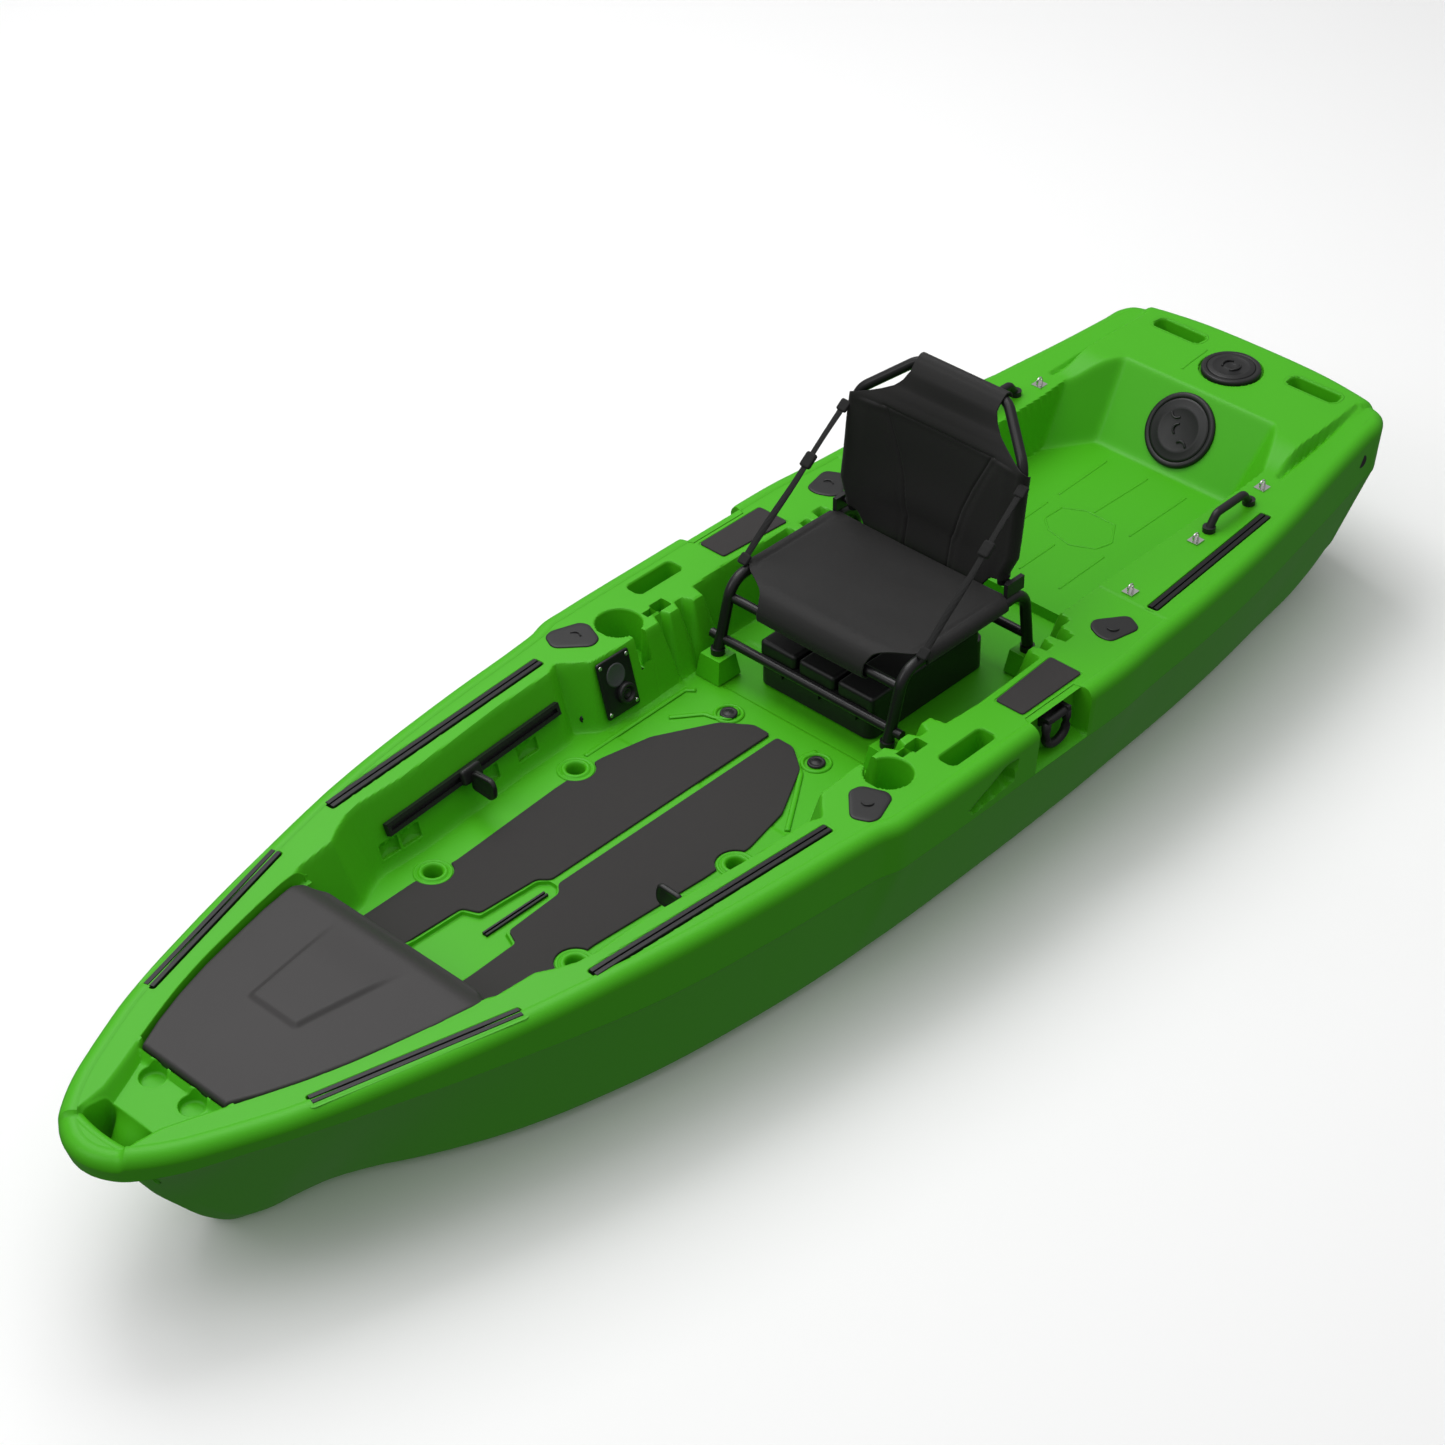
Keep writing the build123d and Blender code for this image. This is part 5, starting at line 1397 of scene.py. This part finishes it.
def add_node(group, kind, inputs=(), operation=None):
    """Node in a group, with each named input set to a value or linked to a socket."""
    node = group.nodes.new(kind)
    if operation:
        node.operation = operation
    for key, given in dict(inputs).items():
        if isinstance(given, bpy.types.NodeSocket):
            group.links.new(given, node.inputs[key])
        else:
            node.inputs[key].default_value = given
    return node


def math_node(group, operation, *given):
    """Result of a sum on values and sockets."""
    return add_node(group, "ShaderNodeMath", enumerate(given), operation).outputs[0]


def feed_outputs(group, out, color, factor, bump):
    """A group's colour, scaled by a factor, and its normal."""
    scaled = add_node(group, "ShaderNodeVectorMath", {0: color, "Scale": factor}, "SCALE")
    group.links.new(scaled.outputs["Vector"], out.inputs["Color"])
    group.links.new(bump.outputs["Normal"], out.inputs["Normal"])


def grain_group():
    """Moulded grain: fine noise makes the bump, slow noise shifts colour and roughness."""
    group, inp, out = new_group("Moulded grain", [
        ("Color", "NodeSocketColor", (0.5, 0.5, 0.5, 1)), ("Shift", "NodeSocketFloat", 0.08),
        ("Size", "NodeSocketFloat", 600.0), ("Depth", "NodeSocketFloat", 0.1),
        ("Roughness", "NodeSocketFloat", 0.4), ("Uneven", "NodeSocketFloat", 0.08)],
        [("Color", "NodeSocketColor"), ("Roughness", "NodeSocketFloat"),
         ("Normal", "NodeSocketVector")])
    given = inp.outputs
    place_in = add_node(group, "ShaderNodeTexCoord").outputs["Object"]
    fine = add_node(group, "ShaderNodeTexNoise",
                    {"Vector": place_in, "Scale": given["Size"], "Detail": 3})
    slow = add_node(group, "ShaderNodeTexNoise",
                    {"Vector": place_in, "Scale": 3.2, "Detail": 5})
    bump = add_node(group, "ShaderNodeBump", {"Strength": given["Depth"], "Distance": 0.0006,
                                              "Height": fine.outputs["Fac"]})
    change = math_node(group, "SUBTRACT", slow.outputs["Fac"], 0.5)
    factor = math_node(group, "MULTIPLY_ADD", change, given["Shift"], 1.0)
    feed_outputs(group, out, given["Color"], factor, bump)
    rough = math_node(group, "MULTIPLY_ADD", change, given["Uneven"], given["Roughness"])
    group.links.new(rough, out.inputs["Roughness"])


def weave_group():
    """Plain weave: two crossed waves in object space set the bump and darken the gaps."""
    group, inp, out = new_group("Coated weave", [
        ("Color", "NodeSocketColor", (0.05, 0.05, 0.05, 1)), ("Size", "NodeSocketFloat", 900.0),
        ("Depth", "NodeSocketFloat", 0.3), ("Gap", "NodeSocketFloat", 0.35)],
        [("Color", "NodeSocketColor"), ("Normal", "NodeSocketVector")])
    given = inp.outputs
    place_in = add_node(group, "ShaderNodeTexCoord").outputs["Object"]
    axes = add_node(group, "ShaderNodeSeparateXYZ", {0: place_in}).outputs
    waves = [math_node(group, "SINE", math_node(group, "MULTIPLY", source, given["Size"]))
             for source in (math_node(group, "ADD", axes["X"], axes["Z"]), axes["Y"])]
    cross = math_node(group, "MULTIPLY", *waves)
    bump = add_node(group, "ShaderNodeBump", {"Strength": given["Depth"], "Distance": 0.0004,
                                              "Height": cross})
    factor = math_node(group, "MULTIPLY_ADD", cross, given["Gap"], 1.0)
    feed_outputs(group, out, given["Color"], factor, bump)


def fed_material(name, group, color, given, **shader_values):
    """Material whose shader is fed by a node group: each of the group's outputs feeds the
    shader's input of the same name, and its colour the base colour."""
    mat = bpy.data.materials.new(name)
    mat.use_nodes = True
    shader = mat.node_tree.nodes["Principled BSDF"]
    for label, value in shader_values.items():
        shader.inputs[label.replace("_", " ")].default_value = value
    node = mat.node_tree.nodes.new("ShaderNodeGroup")
    node.node_tree = bpy.data.node_groups[group]
    node.inputs["Color"].default_value = (*color, 1)
    for label, value in given.items():
        node.inputs[label].default_value = value
    for output in node.outputs:
        label = "Base Color" if output.name == "Color" else output.name
        mat.node_tree.links.new(output, shader.inputs[label])


def moulded(name, color, rough, size, depth, shift=0.08, uneven=0.1, metal=0.0, gloss=0.35):
    """Material made with the moulded grain group."""
    fed_material(name, "Moulded grain", color,
                 {"Shift": shift, "Size": size, "Depth": depth, "Roughness": rough,
                  "Uneven": uneven},
                 Metallic=metal, Specular_IOR_Level=gloss)


def woven(name, color, size, depth, gap, rough=0.62, sheen=0.05):
    """Material made with the coated weave group."""
    fed_material(name, "Coated weave", color, {"Size": size, "Depth": depth, "Gap": gap},
                 Roughness=rough, Sheen_Weight=sheen, Specular_IOR_Level=0.3)


class KAYAK_OT_finishes(bpy.types.Operator):
    """Materials of the boat, and the ones that the CAD nodes carry"""
    bl_idname = "kayak.finishes"
    bl_label = "Finishes"

    def execute(self, context):
        grain_group()
        weave_group()
        c = colours()
        moulded("Green moulding", c.shell, 0.42, 420, 0.10, 0.10, 0.12, gloss=0.22)
        moulded("Dark cover", c.dark, 0.55, 1500, 0.35, 0.10, 0.08)
        moulded("Black fitting", (0.010, 0.010, 0.0105), 0.42, 900, 0.12)
        moulded("Deck foam", c.foam, 0.80, 1700, 0.5, 0.12, 0.05)
        moulded("Black anodised", (0.018, 0.018, 0.019), 0.36, 2200, 0.08, metal=0.6)
        moulded("Polished steel", (0.62, 0.62, 0.60), 0.22, 1200, 0.03, metal=1.0)
        moulded("Disc face", (0.055, 0.06, 0.062), 0.42, 1600, 0.10)
        moulded("Panel face", (0.008, 0.008, 0.009), 0.30, 1400, 0.06)
        moulded("Painted tube", c.tube, 0.34, 1100, 0.10)
        woven("Seat cloth", c.cloth, 2600, 0.35, 0.22)
        woven("Webbing", (0.006, 0.006, 0.006), 1500, 0.6, 0.4, 0.75, 0.04)
        by_slot = {
            "hull_plastic": "Green moulding", "cover_plastic": "Dark cover",
            "black_plastic": "Black fitting", "foam_pad": "Deck foam",
            "track_metal": "Black anodised", "steel": "Polished steel",
            "panel_plastic": "Panel face", "pod_plastic": "Black fitting",
            "frame_tube": "Painted tube", "seat_fabric": "Seat cloth", "webbing": "Webbing",
        }
        for part in frame["record"]["subparts"]:
            node = NODES[part["node"]]
            node.data.materials.clear()
            node.data.materials.append(bpy.data.materials[by_slot[part["material_slot"]]])
        return {"FINISHED"}


def white_floor():
    """Wide pale floor that throws no coloured light back."""
    mat = bpy.data.materials.new("White floor")
    mat.use_nodes = True
    shader = mat.node_tree.nodes["Principled BSDF"]
    shader.inputs["Base Color"].default_value = (0.9, 0.9, 0.9, 1)
    shader.inputs["Roughness"].default_value = 0.9
    side = 40000.0
    floor = build_mesh("floor", np.array([(-side, -side, 0), (side, -side, 0),
                                          (side, side, 0), (-side, side, 0)]),
                       np.array([[0, 1, 2, 3]]))
    floor.data.materials.append(mat)
    floor.visible_diffuse = False
    floor.visible_glossy = False


def pale_room(scene):
    """World that is brighter above than below."""
    world = bpy.data.worlds.new("Pale room")
    scene.world = world
    world.use_nodes = True
    nodes, links = world.node_tree.nodes, world.node_tree.links
    back = nodes["Background"]
    coord = nodes.new("ShaderNodeTexCoord")
    split = nodes.new("ShaderNodeSeparateXYZ")
    shade = nodes.new("ShaderNodeMapRange")
    for label, value in (("From Min", -0.3), ("From Max", 0.8), ("To Min", 0.12),
                         ("To Max", 0.62)):
        shade.inputs[label].default_value = value
    links.new(coord.outputs["Generated"], split.inputs[0])
    links.new(split.outputs["Z"], shade.inputs["Value"])
    links.new(shade.outputs["Result"], back.inputs["Strength"])
    back.inputs["Color"].default_value = (1, 1, 1, 1)


def soft_lamps(scene):
    """Three large lamps: from starboard, from above and from ahead of the bow."""
    for name, spot, aim, size, power in (
            ("key", (-1.0, -3.0, 5.6), (0, 0, 0.3), 4.0, 175),
            ("top", (0.5, -0.6, 6.5), (0, 0, 0.3), 5.0, 105),
            ("bow", (5.0, -2.2, 5.0), (0.8, 0, 0.3), 3.0, 80)):
        light = bpy.data.lights.new(name, "AREA")
        light.size = size
        light.energy = power
        lamp = bpy.data.objects.new(name, light)
        lamp.location = spot
        lamp.rotation_euler = (Vector(aim) - Vector(spot)).to_track_quat("-Z", "Y").to_euler()
        scene.collection.objects.link(lamp)


def photo_camera(scene):
    """Camera that sees the boat as the photograph does."""
    view = bpy.data.cameras.new("photo_view")
    view.lens = 86.34
    view.sensor_width = 36
    view.shift_x = -0.01942
    view.shift_y = -0.01891
    view.clip_end = 200
    cam = bpy.data.objects.new("photo_view", view)
    towards = Vector((-0.5864, -0.5418, -0.6021))
    cam.location = (3.950, 3.634, 4.429)
    cam.rotation_euler = towards.to_track_quat("-Z", "Y").to_euler()
    scene.collection.objects.link(cam)
    scene.camera = cam


class KAYAK_OT_stage(bpy.types.Operator):
    """White floor, soft lamps and the camera of the photograph's view"""
    bl_idname = "kayak.stage"
    bl_label = "Stage"

    def execute(self, context):
        white_floor()
        pale_room(context.scene)
        soft_lamps(context.scene)
        photo_camera(context.scene)
        context.scene.view_settings.view_transform = "Standard"
        return {"FINISHED"}


class KAYAK_PT_panel(bpy.types.Panel):
    """Buttons for each group of pieces"""
    bl_label = "Jet Kayak"
    bl_idname = "KAYAK_PT_panel"
    bl_space_type = "VIEW_3D"
    bl_region_type = "UI"
    bl_category = "Kayak"

    def draw(self, context):
        for group in (context.scene.kayak_sizes, context.scene.kayak_colours):
            for name in group.bl_rna.properties.keys():
                if name not in ("rna_type", "name"):
                    self.layout.prop(group, name)
        for operator in OPERATORS:
            self.layout.operator(operator.bl_idname)


OPERATORS = (KAYAK_OT_finishes, KAYAK_OT_stage, KAYAK_OT_hull, KAYAK_OT_deck,
             KAYAK_OT_moulded_rims, KAYAK_OT_bow_cover, KAYAK_OT_plates, KAYAK_OT_fittings,
             KAYAK_OT_foot_pegs, KAYAK_OT_seat_cloth, KAYAK_OT_straps)
CLASSES = (HullSizes, KayakColours, *OPERATORS, KAYAK_PT_panel)


def register():
    """Register the panel's classes and the settings that they use."""
    for cls in CLASSES:
        bpy.utils.register_class(cls)
    bpy.types.Scene.kayak_sizes = bpy.props.PointerProperty(type=HullSizes)
    bpy.types.Scene.kayak_colours = bpy.props.PointerProperty(type=KayakColours)


def unregister():
    """Take the classes and the settings out again."""
    del bpy.types.Scene.kayak_colours
    del bpy.types.Scene.kayak_sizes
    for cls in reversed(CLASSES):
        bpy.utils.unregister_class(cls)


def main():
    """Build the boat and its stage."""
    register()
    bpy.ops.kayak.finishes()
    bpy.ops.kayak.stage()
    bpy.ops.kayak.hull()
    bpy.ops.kayak.deck()
    bpy.ops.kayak.moulded_rims()
    bpy.ops.kayak.bow_cover()
    bpy.ops.kayak.plates()
    bpy.ops.kayak.fittings()
    bpy.ops.kayak.foot_pegs()
    bpy.ops.kayak.seat_cloth()
    bpy.ops.kayak.straps()


if __name__ == "__main__":
    main()
